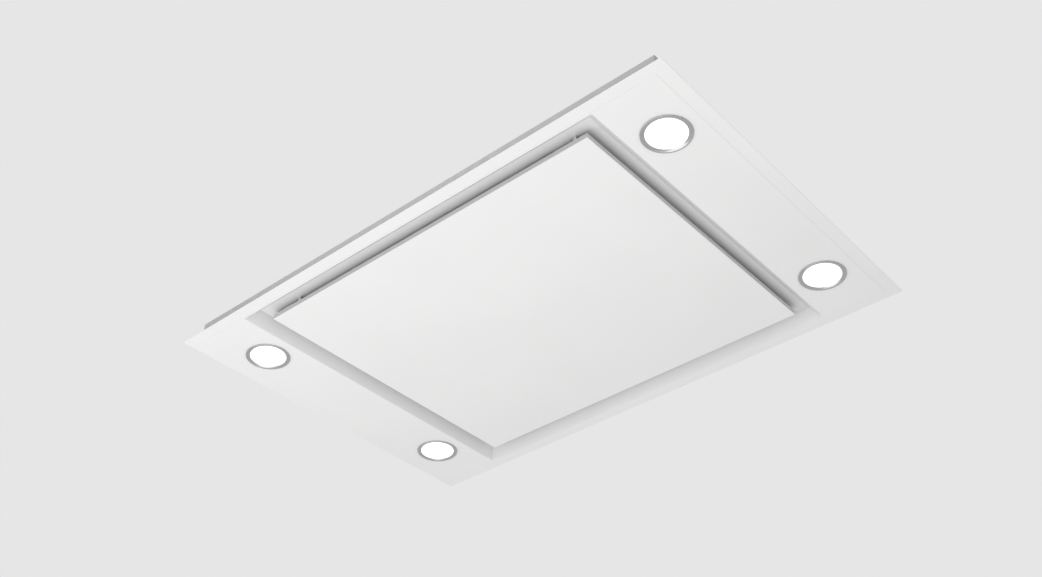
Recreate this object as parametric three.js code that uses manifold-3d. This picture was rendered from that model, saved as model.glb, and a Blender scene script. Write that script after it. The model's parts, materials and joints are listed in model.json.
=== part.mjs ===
// Ceiling range hood with a drop-down panel and suction round its rim.
// Millimetres, +Z up. The origin is the middle of the ceiling cut-out, level with the ceiling's
// lower face, which is also the upper face of the hood's visible plate. X runs along the long side.
import * as THREE from 'three';
import { mergeVertices } from 'three/addons/utils/BufferGeometryUtils.js';
import Module from 'manifold-3d';

// ---------------------------------------------------------------- clearances
const seatGap = 0.2; // between pieces that rest on or against each other
const turnedGap = 0.3; // the same, for pieces placed in a turned group
const shaftGap = 0.15; // round a pin or shaft in its bore
const slideGap = 0.5; // round a piece that slides in a pocket

// How far a cutting body runs past the faces that it cuts.
const cutPast = 1;

// ---------------------------------------------------------------- sides of round pieces
const wideSides = 36; // lamps, collar, fan
const midSides = 20; // motor, lamp bodies
const smallSides = 12; // pins, holes, knuckles

// ---------------------------------------------------------------- face plate
const plateLength = 900;
const plateDepth = 600;
const faceSheet = 1.2; // sheet of the visible plate and its pressed recess
const rimStep = 0.3; // plate's middle pressed down from its rim, round the tray's foot
const recessLength = 661; // mouth of the recess in the visible face
const recessDepth = 560;
const recessRise = 18; // visible face up to the underside of the ledge
const recessRun = 16; // how far the sloping walls lean in over that rise

// ---------------------------------------------------------------- body tray
const flangeWidth = 20; // plate outside the tray at the short ends
const trayHeight = 34.5; // above the ceiling's lower face
const traySheet = 1.2;

// ---------------------------------------------------------------- panel
const panelLength = 600;
const panelDepth = 500;
const panelThickness = 8.2;
const panelInset = 1.5; // panel's face above the visible face
const panelSheet = 1.0;
const panelBackSheet = 1.0;

// ---------------------------------------------------------------- panel hinges and catches
const fittingSpacing = 524; // between the two hinges, and between the two catches
const hingeWidth = 34;
const hingeKnuckle = 12; // the panel leaf's middle knuckle
const hingeLeafReach = 24;
const hingeLeafSheet = 1.5;
const hingePinRadius = 1.5;
const hingeEdge = 3.2; // pin's axis in from the panel's far edge
const knuckleGap = 0.4;
const strikeLength = 34;
const strikeReach = 22;
const strikeSheet = 1.5;
const lugWidth = 5; // upturned stop at one end of each strike plate
const lugSheet = 1.5;
const strikeEdge = 1; // strike plate in from the panel's near edge
const magnetLength = 27;
const magnetWidth = 13;
const magnetEdge = 9; // magnet in from the panel's near edge

// ---------------------------------------------------------------- grease filters
const filterWidth = 246;
const filterDepth = 366;
const filterThickness = 9;
const filterSheet = 1.2;
const filterRail = 14; // frame's width on three sides
const latchRail = 34; // and on the side with the latch
const filterGap = 1.5; // round a filter in its opening
const filterBar = 14; // ledge left between the two openings
const grooveDepth = 5;
const pleatPitch = 12;
const pleatSheet = 2;
const tongueReach = 5;
const tongueWidth = 20;
const tongueSheet = 1.5;
const latchWidth = 40;
const latchLength = 25;
const latchSheet = 2.5;
const latchTravel = 5;
const gripWidth = 30;
const gripLength = 10;
const gripDrop = 3; // grip below the filter's face
const gripInset = 7; // grip in from the filter's near edge

// ---------------------------------------------------------------- lamps
const lampOffset = 191; // lamps each side of the hood's middle, along Y
const bezelRadius = 35;
const bezelProud = 1.5;
const apertureRadius = 29;
const bezelBevel = 2.2;
const bezelEdge = 0.6; // upright edge of the bezel round its aperture
const sleeveSheet = 1.2;
const sleeveHeight = 8;
const lensLip = 1.5; // lens held beyond the aperture
const lensThickness = 2.4;
const lensSet = 0.3; // lens's face above the plate's visible face
const moduleHeight = 24;
const finCount = 3;
const finDepth = 5;

// ---------------------------------------------------------------- fan
const impellerRadius = 100;
const impellerHeight = 105;
const bladeCount = 24;
const bladeDepth = 18;
const bladeSheet = 1.2;
const bladeInset = 0.6; // blades' edges inside the impeller's rings
const bladeSweep = 0.1; // radians by which a blade's outer edge leads
const impellerSheet = 2;
const impellerLift = 6; // impeller above the scroll's floor
const cutoffGap = 12; // impeller to scroll where they come closest
const scrollGrowth = 38; // scroll's radius gained over the turn
const scrollSheet = 2;
const coverSheet = 2;
const coverRim = 4; // cover beyond the scroll's wall
const mouthRun = 145; // fan's axis to the inside of the outlet wall
const inletSheet = 1.2;
const inletGap = 3; // impeller's eye to the inlet ring
const inletRim = 18; // ring's flange under the scroll

// ---------------------------------------------------------------- motor
const motorRadius = 48;
const motorHeight = 70;
const motorFlange = 62;
const motorFlangeSheet = 3;
const motorChamfer = 4;
const motorBoss = 20;
const motorBossHeight = 6;
const shaftRadius = 4;
const shaftDrop = 21; // shaft below the motor
const bearingRadius = 11;
const bearingHeight = 7;
const hubRadius = 14;
const hubHeight = 12;
const dishGap = 8; // motor to the impeller's dished back
const nutRadius = 7;
const nutHeight = 5;

// ---------------------------------------------------------------- motor housing
const housingSheet = 1.0;
const housingFlange = 12;
const fanRise = 15; // tray's top to the underside of the fan
const fanSideRoom = 3;
const housingEndRoom = 30;
const lidSkirt = 8;
const mountRadius = 9;
const mountHeight = 10;
const mountWaist = 2; // how far the rubber's waist draws in
const mountRim = 2;
const mountInsetLeft = 30; // rubber mounts in from the scroll's left side and the mouth's right side
const mountInsetRight = 20;

// ---------------------------------------------------------------- outlet
const collarRadius = 75;
const collarSheet = 2;
const outletRoom = 1; // housing's hole beyond the collar's bore
const collarLength = 60;
const collarFlange = 79;
const collarFlangeSheet = 3;
const rimWidth = 5; // stop rim inside the collar
const rimSheet = 3;
const rimStart = 6; // rim from the collar's foot
const flapSheet = 1.2;
const flapGap = 1.5; // flaps inside the collar
const flapPinRadius = 2;
const flapKnuckle = 3.6;
const flapKnuckles = 4; // shared by turns between the two flaps

// ---------------------------------------------------------------- hanging brackets
const bracketWidth = 40;
const bracketLeg = 35;
const bracketReach = 32;
const bracketSheet = 2.5;
const bracketDrop = 28; // below the top of the housing
const rodSlotWidth = 9; // for an M8 rod
const rodSlotLength = 15;
const bracketSpacing = 210;
const screwHoleRadius = 2.6;

// ---------------------------------------------------------------- control box
const boxLength = 140;
const boxWidth = 110;
const boxHeight = 38;
const boxWall = 2;
const boxOffset = 8; // clear of the housing's flange
const boxLidLip = 6;
const boardSheet = 1.6;
const boardMargin = 6;
const postRadius = 4;
const postHeight = 6;
const terminalLength = 30;
const terminalWidth = 12;
const terminalHeight = 12;
const relayLength = 16;
const relayWidth = 24;
const relayHeight = 14;
const relayInset = 18; // relay in from the board's right edge
const relayOffset = 20; // relay's middle off the board's middle
const capacitorRadius = 12;
const capacitorLength = 60;
const capacitorInset = 2; // capacitor in from the board's edge
const glandRadius = 9;
const glandBore = 4.2;
const glandLength = 22;
const glandDome = 10; // clamping cap outside the nut
const glandNut = 12;
const glandNutSheet = 5;
const glandChamfer = 2.5;

// ---------------------------------------------------------------- levels and places
const rimZ = -faceSheet;
const faceZ = rimZ - rimStep;
const plateTop = -rimStep;
const ledgeUnder = faceZ + recessRise;
const ledgeTop = ledgeUnder + faceSheet;
const slope = recessRun / recessRise;
const wallOffset = faceSheet * Math.hypot(1, slope);

const trayHalfX = plateLength / 2 - flangeWidth;
const trayHalfY = recessDepth / 2 + wallOffset - slope * faceSheet + turnedGap + traySheet;
const footX = trayHalfX + turnedGap;
const footY = trayHalfY + turnedGap;

const panelZ = faceZ + panelInset;
const panelTop = panelZ + panelThickness;
const slotHeight = ledgeUnder - panelTop;

const pinY = panelDepth / 2 - hingeEdge;
const pinZ = panelTop + slotHeight / 2;
const knuckleRadius = slotHeight / 2 - knuckleGap;

const filterCentreX = (filterBar + filterWidth) / 2 + filterGap;
const filterTop = ledgeUnder + filterThickness;
const filterNear = -filterDepth / 2;

const lampX = (recessLength / 2 + trayHalfX) / 2;
const lensRadius = apertureRadius + lensLip;
const sleeveInner = lensRadius + seatGap;
const sleeveOuter = sleeveInner + sleeveSheet;
const lampHole = sleeveOuter + seatGap;

const collarBore = collarRadius - collarSheet;
const rimBore = collarBore - rimWidth;
const mouthWidth = 2 * rimBore;

const scrollStart = impellerRadius + cutoffGap;
const scrollEnd = scrollStart + scrollGrowth;
const tongueX = scrollEnd - mouthWidth;
const tongueAngle = Math.acos(tongueX / scrollStart);
const scrollBottom = trayHeight + fanRise;
const scrollFloor = scrollBottom + scrollSheet;
const scrollTop = scrollFloor + mouthWidth;
const coverBottom = scrollTop + seatGap;
const coverTop = coverBottom + coverSheet;
const housingUnder = coverTop + seatGap + mountHeight + seatGap;
const housingTop = housingUnder + housingSheet;
const scrollSouth = scrollRadius(1.5 * Math.PI) + scrollSheet + fanSideRoom;
const housingHalfY = (mouthRun + scrollSouth) / 2 + housingSheet;
const fanX = mouthWidth / 2 - scrollEnd;
const fanY = scrollSouth - housingHalfY + housingSheet;
const housingHalfX = scrollRadius(Math.PI) + scrollSheet + housingEndRoom - fanX + housingSheet;
const outletZ = scrollFloor + rimBore;

const eyeRadius = impellerRadius - bladeDepth;
const throatRadius = eyeRadius - inletGap;
const inletHole = throatRadius + seatGap;
const impellerBottom = scrollFloor + impellerLift;
const impellerTop = impellerBottom + impellerHeight;
const motorBottom = coverBottom - seatGap - motorHeight;
const motorTop = motorBottom + motorHeight;
const dishRadius = motorRadius + dishGap;

const boxX = -(housingHalfX + housingFlange + boxOffset) - boxLength / 2;
const boxBottom = trayHeight + seatGap;

// ---------------------------------------------------------------- materials
function finish(color, roughness, metalness) {
  return () => new THREE.MeshStandardMaterial({ color, roughness, metalness });
}

const whitePaint = finish(0xf2f2f2, 0.35, 0.0);
const galvanised = finish(0xb4b8ba, 0.45, 0.9);
const steel = finish(0x9a9da0, 0.35, 1.0);
const brushedAluminium = finish(0xc9cbcc, 0.4, 1.0);
const chrome = finish(0xd8d8d8, 0.12, 1.0);
const frosted = finish(0xffffff, 0.5, 0.0);
const blackPlastic = finish(0x26282a, 0.55, 0.0);
const greyPlastic = finish(0x7d8184, 0.5, 0.0);
const magnetBlack = finish(0x303030, 0.6, 0.2);
const boardGreen = finish(0x1f5a38, 0.5, 0.0);
const rubber = finish(0x1c1c1c, 0.85, 0.0);

// ---------------------------------------------------------------- solids
const wasm = await Module();
wasm.setup();

// A closed three.js geometry as a solid that can be joined and cut.
function toSolid(geometry) {
  geometry.deleteAttribute('normal');
  geometry.deleteAttribute('uv');
  const merged = mergeVertices(geometry, 1e-4);
  const index = merged.index.array;
  const kept = [];
  for (let i = 0; i < index.length; i += 3) {
    const [a, b, c] = [index[i], index[i + 1], index[i + 2]];
    if (a !== b && b !== c && c !== a) kept.push(a, b, c);
  }
  const mesh = new wasm.Mesh({
    numProp: 3,
    vertProperties: new Float32Array(merged.attributes.position.array),
    triVerts: new Uint32Array(kept),
  });
  return new wasm.Manifold(mesh);
}

// A named mesh made from a solid.
function piece(name, solid, material) {
  const { vertProperties, triVerts } = solid.getMesh();
  const geometry = new THREE.BufferGeometry();
  geometry.setAttribute('position', new THREE.BufferAttribute(vertProperties, 3));
  geometry.setIndex(new THREE.BufferAttribute(triVerts, 1));
  geometry.computeVertexNormals();
  const mesh = new THREE.Mesh(geometry, material());
  mesh.name = name;
  return mesh;
}

// A box between two corners.
function block(x0, x1, y0, y1, z0, z1) {
  const geometry = new THREE.BoxGeometry(x1 - x0, y1 - y0, z1 - z0);
  geometry.translate((x0 + x1) / 2, (y0 + y1) / 2, (z0 + z1) / 2);
  return toSolid(geometry);
}

// A box centred on the Z axis, between two heights.
function slab(halfX, halfY, z0, z1) {
  return block(-halfX, halfX, -halfY, halfY, z0, z1);
}

// A box whose top and bottom differ in size.
function frustum(bottomX, bottomY, z0, topX, topY, z1) {
  const geometry = new THREE.BoxGeometry(2, 2, 1);
  const corner = geometry.attributes.position;
  for (let i = 0; i < corner.count; i += 1) {
    const top = corner.getZ(i) > 0;
    corner.setX(i, corner.getX(i) * (top ? topX : bottomX));
    corner.setY(i, corner.getY(i) * (top ? topY : bottomY));
    corner.setZ(i, top ? z1 : z0);
  }
  return toSolid(geometry);
}

// A flat outline, given as [x, y] points, raised from z0 to z1.
function prism(points, z0, z1) {
  const shape = new THREE.Shape(points.map(([x, y]) => new THREE.Vector2(x, y)));
  const geometry = new THREE.ExtrudeGeometry(shape, { depth: z1 - z0, bevelEnabled: false });
  geometry.translate(0, 0, z0);
  return toSolid(geometry);
}

// A profile of [radius, height] points turned about the Z axis.
function turned(profile, segments) {
  const points = profile.map(([r, z]) => new THREE.Vector2(r, z));
  const geometry = new THREE.LatheGeometry(points, segments);
  geometry.rotateX(Math.PI / 2);
  return toSolid(geometry);
}

// A ring of rectangular section about the Z axis.
function ring(inner, outer, z0, z1, segments) {
  return turned([[inner, z0], [outer, z0], [outer, z1], [inner, z1], [inner, z0]], segments);
}

// A round bar on the Z axis.
function rod(radius, z0, z1, segments) {
  return turned([[0, z0], [radius, z0], [radius, z1], [0, z1]], segments);
}

function lying(solid, axis) {
  return axis === 'x' ? solid.rotate([0, 90, 0]) : solid.rotate([-90, 0, 0]);
}

function joined(solids) {
  return solids.reduce((whole, next) => whole.add(next));
}

function drilled(solid, holes) {
  return holes.reduce((whole, hole) => whole.subtract(hole), solid);
}

// ---------------------------------------------------------------- face plate and tray
function lampPlaces() {
  return [[lampX, -lampOffset], [lampX, lampOffset], [-lampX, -lampOffset], [-lampX, lampOffset]];
}

function filterPlaces() {
  return [-filterCentreX, filterCentreX];
}

function facePlate() {
  const mouthX = recessLength / 2;
  const mouthY = recessDepth / 2;
  const rise = recessRise + faceSheet;
  const lean = slope * rise;
  const rim = slab(plateLength / 2, plateDepth / 2, rimZ, 0).subtract(slab(footX, footY, plateTop, cutPast));
  const middle = slab(footX, footY, faceZ, plateTop);
  const shell = frustum(
    mouthX + wallOffset, mouthY + wallOffset, faceZ,
    mouthX + wallOffset - lean, mouthY + wallOffset - lean, ledgeTop,
  );
  const hollow = frustum(
    mouthX + slope * cutPast, mouthY + slope * cutPast, faceZ - cutPast,
    mouthX - recessRun, mouthY - recessRun, ledgeUnder,
  );
  const halfX = filterWidth / 2 + filterGap;
  const halfY = filterDepth / 2 + filterGap;
  const openings = filterPlaces().map(
    (x) => slab(halfX, halfY, ledgeUnder - cutPast, ledgeTop + cutPast).translate([x, 0, 0]),
  );
  const lampCut = rod(lampHole, faceZ - cutPast, cutPast, wideSides);
  const lamps = lampPlaces().map(([x, y]) => lampCut.translate([x, y, 0]));
  return drilled(joined([rim, middle, shell]), [hollow, ...openings, ...lamps]);
}

function bodyTray() {
  const innerX = trayHalfX - traySheet;
  const innerY = trayHalfY - traySheet;
  const outside = slab(trayHalfX, trayHalfY, plateTop + seatGap, trayHeight);
  const inside = slab(innerX, innerY, faceZ, trayHeight - traySheet);
  const plenum = slab(
    housingHalfX - housingFlange / 2, housingHalfY - housingFlange / 2, 0, trayHeight + cutPast,
  );
  return drilled(outside, [inside, plenum]);
}

// ---------------------------------------------------------------- motor housing
function motorHousing() {
  const foot = trayHeight + seatGap;
  const wallTop = housingUnder - seatGap;
  const walls = slab(housingHalfX, housingHalfY, foot, wallTop);
  const flange = slab(
    housingHalfX + housingFlange, housingHalfY + housingFlange, foot, foot + housingSheet,
  );
  const inside = slab(housingHalfX - housingSheet, housingHalfY - housingSheet, 0, wallTop + cutPast);
  const duct = rod(rimBore + outletRoom, 0, housingHalfY * 2, wideSides);
  const outlet = lying(duct, 'y').translate([0, 0, outletZ]);
  return drilled(walls.add(flange), [inside, outlet]);
}

function housingLid() {
  const skirtX = housingHalfX - housingSheet - seatGap;
  const skirtY = housingHalfY - housingSheet - seatGap;
  const bottom = housingUnder - lidSkirt;
  const plate = slab(housingHalfX, housingHalfY, housingUnder, housingTop);
  const skirt = slab(skirtX, skirtY, bottom, housingUnder + housingSheet / 2);
  const inside = slab(skirtX - housingSheet, skirtY - housingSheet, bottom - cutPast, housingUnder);
  return plate.add(skirt).subtract(inside);
}

function rubberMount() {
  const waist = mountRadius - mountWaist;
  const profile = [
    [0, 0], [mountRadius, 0], [mountRadius, mountRim], [waist, mountHeight / 2],
    [mountRadius, mountHeight - mountRim], [mountRadius, mountHeight], [0, mountHeight],
  ];
  return turned(profile, smallSides);
}

// A slotted angle that hangs the housing from a threaded rod, standing on its wall at x = 0.
function hangingBracket() {
  const half = bracketWidth / 2;
  const leg = block(0, bracketSheet, -half, half, -bracketLeg, 0);
  const shelf = block(0, bracketReach, -half, half, -bracketSheet, 0);
  const slotRadius = rodSlotWidth / 2;
  const slotRun = (rodSlotLength - rodSlotWidth) / 2;
  const slotX = (bracketReach + bracketSheet) / 2;
  const slotEnd = rod(slotRadius, -bracketSheet - cutPast, cutPast, smallSides);
  const slot = joined([
    slotEnd.translate([slotX, -slotRun, 0]),
    slotEnd.translate([slotX, slotRun, 0]),
    block(slotX - slotRadius, slotX + slotRadius, -slotRun, slotRun, -bracketSheet - cutPast, cutPast),
  ]);
  const screw = lying(rod(screwHoleRadius, -cutPast, bracketSheet + cutPast, smallSides), 'x');
  const screwZ = -(bracketLeg + bracketSheet) / 2;
  const screws = [-half / 2, half / 2].map((y) => screw.translate([0, y, screwZ]));
  return drilled(leg.add(shelf), [slot, ...screws]);
}

// ---------------------------------------------------------------- fan
// The scroll's inner radius at an angle from the outlet side, growing to where the mouth begins.
function scrollRadius(angle) {
  const turnedShare = (angle - tongueAngle) / (2 * Math.PI - tongueAngle);
  return scrollStart + scrollGrowth * turnedShare;
}

// The scroll's outline about the fan's axis, grown outwards by a margin, mouth end at y = run.
function scrollOutline(margin, run) {
  const inner = tongueX - margin;
  const start = Math.acos(inner / (scrollStart + margin));
  const steps = 36;
  const points = [];
  for (let i = 0; i <= steps; i += 1) {
    const angle = start + ((2 * Math.PI - start) * i) / steps;
    const radius = scrollRadius(angle) + margin;
    points.push([radius * Math.cos(angle), radius * Math.sin(angle)]);
  }
  points.push([scrollEnd + margin, run], [inner, run]);
  return points;
}

function fanScroll() {
  const outside = prism(scrollOutline(scrollSheet, mouthRun - seatGap), scrollBottom, scrollTop);
  const inside = prism(scrollOutline(0, mouthRun + cutPast), scrollFloor, scrollTop + cutPast);
  const inlet = rod(inletHole, scrollBottom - cutPast, scrollFloor + cutPast, wideSides);
  return drilled(outside, [inside, inlet]).translate([fanX, fanY, 0]);
}

function scrollCover() {
  const plate = prism(scrollOutline(coverRim, mouthRun - seatGap), coverBottom, coverTop);
  const boss = rod(motorBoss + slideGap, coverBottom - cutPast, coverTop + cutPast, midSides);
  return plate.subtract(boss).translate([fanX, fanY, 0]);
}

// A chamfered ring that leads the air into the fan's eye.
function inletRing() {
  const flangeTop = scrollBottom - seatGap;
  const flangeBottom = flangeTop - inletSheet;
  const inner = throatRadius - inletSheet;
  const lip = impellerBottom + inletGap;
  const profile = [
    [throatRadius, flangeBottom], [throatRadius + inletRim, flangeBottom],
    [throatRadius + inletRim, flangeTop], [throatRadius, flangeTop],
    [throatRadius, lip], [inner, lip], [inner, flangeBottom + 2 * inletSheet],
    [throatRadius, flangeBottom],
  ];
  return turned(profile, wideSides).translate([fanX, fanY, 0]);
}

// One forward-curved blade, as an outline seen along the fan's axis.
function bladeOutline() {
  const steps = 2;
  const front = [];
  const back = [];
  for (let i = 0; i <= steps; i += 1) {
    const share = i / steps;
    const radius = eyeRadius + bladeInset + (bladeDepth - 2 * bladeInset) * share;
    const lead = bladeSweep * share * share;
    front.push([radius * Math.cos(lead), radius * Math.sin(lead) - bladeSheet / 2]);
    back.unshift([radius * Math.cos(lead), radius * Math.sin(lead) + bladeSheet / 2]);
  }
  return [...front, ...back];
}

function impeller() {
  const backTop = impellerTop;
  const backUnder = backTop - impellerSheet;
  const hubTop = motorBottom - seatGap - impellerLift / 2;
  const hubUnder = hubTop - impellerSheet;
  const bore = shaftRadius + shaftGap;
  const dish = turned([
    [bore, hubTop - hubHeight], [hubRadius, hubTop - hubHeight], [hubRadius, hubUnder],
    [dishRadius + impellerSheet, hubUnder], [dishRadius + impellerSheet, backUnder],
    [impellerRadius, backUnder], [impellerRadius, backTop], [dishRadius, backTop],
    [dishRadius, hubTop], [bore, hubTop], [bore, hubTop - hubHeight],
  ], wideSides);
  const eye = ring(
    eyeRadius, impellerRadius, impellerBottom, impellerBottom + impellerSheet, wideSides,
  );
  const blade = prism(bladeOutline(), impellerBottom + impellerSheet / 2, backUnder + impellerSheet / 2);
  const blades = [];
  for (let i = 0; i < bladeCount; i += 1) {
    blades.push(blade.rotate([0, 0, (360 * i) / bladeCount]));
  }
  return joined([dish, eye, ...blades]);
}

function impellerNut() {
  const hubTop = motorBottom - seatGap - impellerLift / 2;
  const top = hubTop - hubHeight - seatGap;
  const hexagon = rod(nutRadius, top - nutHeight, top, 6);
  return hexagon.subtract(rod(shaftRadius + shaftGap, top - nutHeight - cutPast, top + cutPast, smallSides));
}

// ---------------------------------------------------------------- motor
function motorBody() {
  const bore = shaftRadius + slideGap;
  const seat = bearingRadius + seatGap;
  const bossTop = motorTop + motorBossHeight;
  const profile = [
    [bore, motorBottom + bearingHeight], [seat, motorBottom + bearingHeight],
    [seat, motorBottom], [motorRadius - motorChamfer, motorBottom], [motorRadius, motorBottom + motorChamfer],
    [motorRadius, motorTop - motorFlangeSheet], [motorFlange, motorTop - motorFlangeSheet],
    [motorFlange, motorTop], [motorBoss, motorTop], [motorBoss, bossTop], [seat, bossTop],
    [seat, bossTop - bearingHeight], [bore, bossTop - bearingHeight],
    [bore, motorBottom + bearingHeight],
  ];
  return turned(profile, midSides);
}

function shaftBearing(bottom) {
  const top = bottom + bearingHeight - seatGap;
  return ring(shaftRadius + shaftGap, bearingRadius, bottom, top, midSides);
}

function motorShaft() {
  return rod(shaftRadius, motorBottom - shaftDrop, motorTop + motorBossHeight - seatGap, smallSides);
}

// ---------------------------------------------------------------- outlet collar and its flaps
// The collar stands along +Z here, from its foot at z = 0, and is laid along Y when placed.
const rimEnd = rimStart + rimSheet;
const flapY = rimEnd + flapKnuckle + seatGap;
const flapRadius = collarBore - flapGap;

function outletCollar() {
  const profile = [
    [rimBore, 0], [collarFlange, 0], [collarFlange, collarFlangeSheet],
    [collarRadius, collarFlangeSheet], [collarRadius, collarLength], [collarBore, collarLength],
    [collarBore, rimEnd], [rimBore, rimEnd], [rimBore, 0],
  ];
  const pinHole = rod(flapPinRadius + shaftGap, -collarRadius - cutPast, collarRadius + cutPast, smallSides);
  return turned(profile, wideSides).subtract(lying(pinHole, 'y').translate([0, 0, flapY]));
}

function flapPin() {
  const half = collarRadius - seatGap;
  return lying(rod(flapPinRadius, -half, half, smallSides), 'y').translate([0, 0, flapY]);
}

// Half a disc beside the pin, on the side given by +1 or -1, with every second knuckle.
function outletFlap(side) {
  const span = flapRadius - flapGap;
  const edge = flapKnuckle + knuckleGap;
  const pitch = (2 * span) / flapKnuckles;
  const disc = rod(flapRadius, flapY - flapSheet / 2, flapY + flapSheet / 2, wideSides);
  const half = disc.intersect(
    block(
      side > 0 ? edge : -collarRadius, side > 0 ? collarRadius : -edge,
      -collarRadius, collarRadius, flapY - flapSheet, flapY + flapSheet,
    ),
  );
  const parts = [half];
  for (let i = side > 0 ? 1 : 0; i < flapKnuckles; i += 2) {
    const start = -span + i * pitch + knuckleGap / 2;
    const end = start + pitch - knuckleGap;
    const barrel = lying(rod(flapKnuckle, 0, end - start, smallSides), 'y');
    parts.push(barrel.translate([0, start, flapY]));
    const reach = side * (edge + knuckleGap);
    parts.push(block(
      Math.min(0, reach), Math.max(0, reach), start, end,
      flapY - flapSheet / 2, flapY + flapSheet / 2,
    ));
  }
  const boreRod = rod(flapPinRadius + shaftGap, -collarRadius, collarRadius, smallSides);
  const bore = lying(boreRod, 'y').translate([0, 0, flapY]);
  return joined(parts).subtract(bore);
}

// ---------------------------------------------------------------- control box
function controlBox() {
  const halfX = boxLength / 2;
  const halfY = boxWidth / 2;
  const shell = slab(halfX, halfY, 0, boxHeight);
  const inside = slab(halfX - boxWall, halfY - boxWall, boxWall, boxHeight + cutPast);
  const glandHole = lying(rod(glandRadius + seatGap, -boxWall - cutPast, boxWall + cutPast, midSides), 'x');
  const box = drilled(shell, [inside, glandHole.translate([-halfX, 0, boxHeight / 2])]);
  const posts = boardCorners().map(
    ([x, y]) => rod(postRadius, boxWall / 2, boxWall + postHeight, smallSides).translate([x, y, 0]),
  );
  return joined([box, ...posts]);
}

function boardCorners() {
  const x = boxLength / 2 - boxWall - boardMargin - postRadius;
  const y = boxWidth / 2 - boxWall - boardMargin - postRadius;
  return [[x, y], [-x, y], [-x, -y], [x, -y]];
}

function controlBoxLid() {
  const halfX = boxLength / 2;
  const halfY = boxWidth / 2;
  const bottom = boxHeight + seatGap;
  const plate = slab(halfX, halfY, bottom, bottom + boxWall);
  const lipX = halfX - boxWall - seatGap;
  const lipY = halfY - boxWall - seatGap;
  const lip = slab(lipX, lipY, bottom - boxLidLip, bottom + boxWall / 2);
  const room = slab(lipX - boxWall, lipY - boxWall, bottom - boxLidLip - cutPast, bottom);
  return plate.add(lip.subtract(room));
}

const boardBottom = boxWall + postHeight + seatGap;
const boardTop = boardBottom + boardSheet;
const boardMiddle = boardBottom + boardSheet / 2;

function controlBoard() {
  const halfX = boxLength / 2 - boxWall - boardMargin;
  const halfY = boxWidth / 2 - boxWall - boardMargin;
  const board = slab(halfX, halfY, boardBottom, boardTop);
  const terminalX = -halfX + terminalWidth;
  const terminal = block(
    terminalX - terminalWidth / 2, terminalX + terminalWidth / 2,
    -terminalLength / 2, terminalLength / 2, boardMiddle, boardTop + terminalHeight,
  );
  const relay = block(
    halfX - relayInset - relayLength, halfX - relayInset,
    -relayOffset - relayWidth / 2, -relayOffset + relayWidth / 2, boardMiddle, boardTop + relayHeight,
  );
  return joined([board, terminal, relay]);
}

function runCapacitor() {
  const can = lying(rod(capacitorRadius, 0, capacitorLength, midSides), 'x');
  const y = boxWidth / 2 - boxWall - boardMargin - capacitorInset - capacitorRadius;
  return can.translate([-capacitorLength / 2, y, boardTop + seatGap + capacitorRadius]);
}

function cableGland() {
  const shoulder = glandDome + glandNutSheet;
  const profile = [
    [glandBore, 0], [glandRadius - glandChamfer, 0], [glandRadius, glandChamfer], [glandRadius, glandDome],
    [glandNut, glandDome], [glandNut, shoulder], [glandRadius, shoulder],
    [glandRadius, glandLength], [glandBore, glandLength], [glandBore, 0],
  ];
  const start = -boxLength / 2 - shoulder - seatGap;
  return lying(turned(profile, smallSides), 'x').translate([start, 0, boxHeight / 2]);
}

// ---------------------------------------------------------------- lamps
// Heights here count from the visible face, downwards negative.
function lampBezel() {
  const lip = lensSet - seatGap;
  const profile = [
    [apertureRadius, lip - bezelEdge], [apertureRadius + bezelBevel, -bezelProud],
    [bezelRadius, -bezelProud], [bezelRadius, -seatGap], [sleeveOuter, -seatGap], [sleeveOuter, sleeveHeight],
    [sleeveInner, sleeveHeight], [sleeveInner, lip], [apertureRadius, lip],
    [apertureRadius, lip - bezelEdge],
  ];
  return turned(profile, wideSides);
}

function lampLens() {
  const bottom = lensSet;
  const top = bottom + lensThickness;
  return rod(lensRadius, bottom, top, wideSides);
}

function lampModule() {
  const bottom = lensSet + lensThickness + seatGap;
  const body = lensRadius;
  const core = body - finDepth;
  const pitch = (moduleHeight - sleeveHeight) / finCount;
  const profile = [[0, bottom], [body, bottom], [body, sleeveHeight]];
  for (let i = 0; i < finCount; i += 1) {
    const z = sleeveHeight + i * pitch;
    profile.push([core, z], [core, z + pitch / 2], [body, z + pitch / 2], [body, z + pitch]);
  }
  profile.push([0, moduleHeight]);
  return turned(profile, midSides);
}

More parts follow.
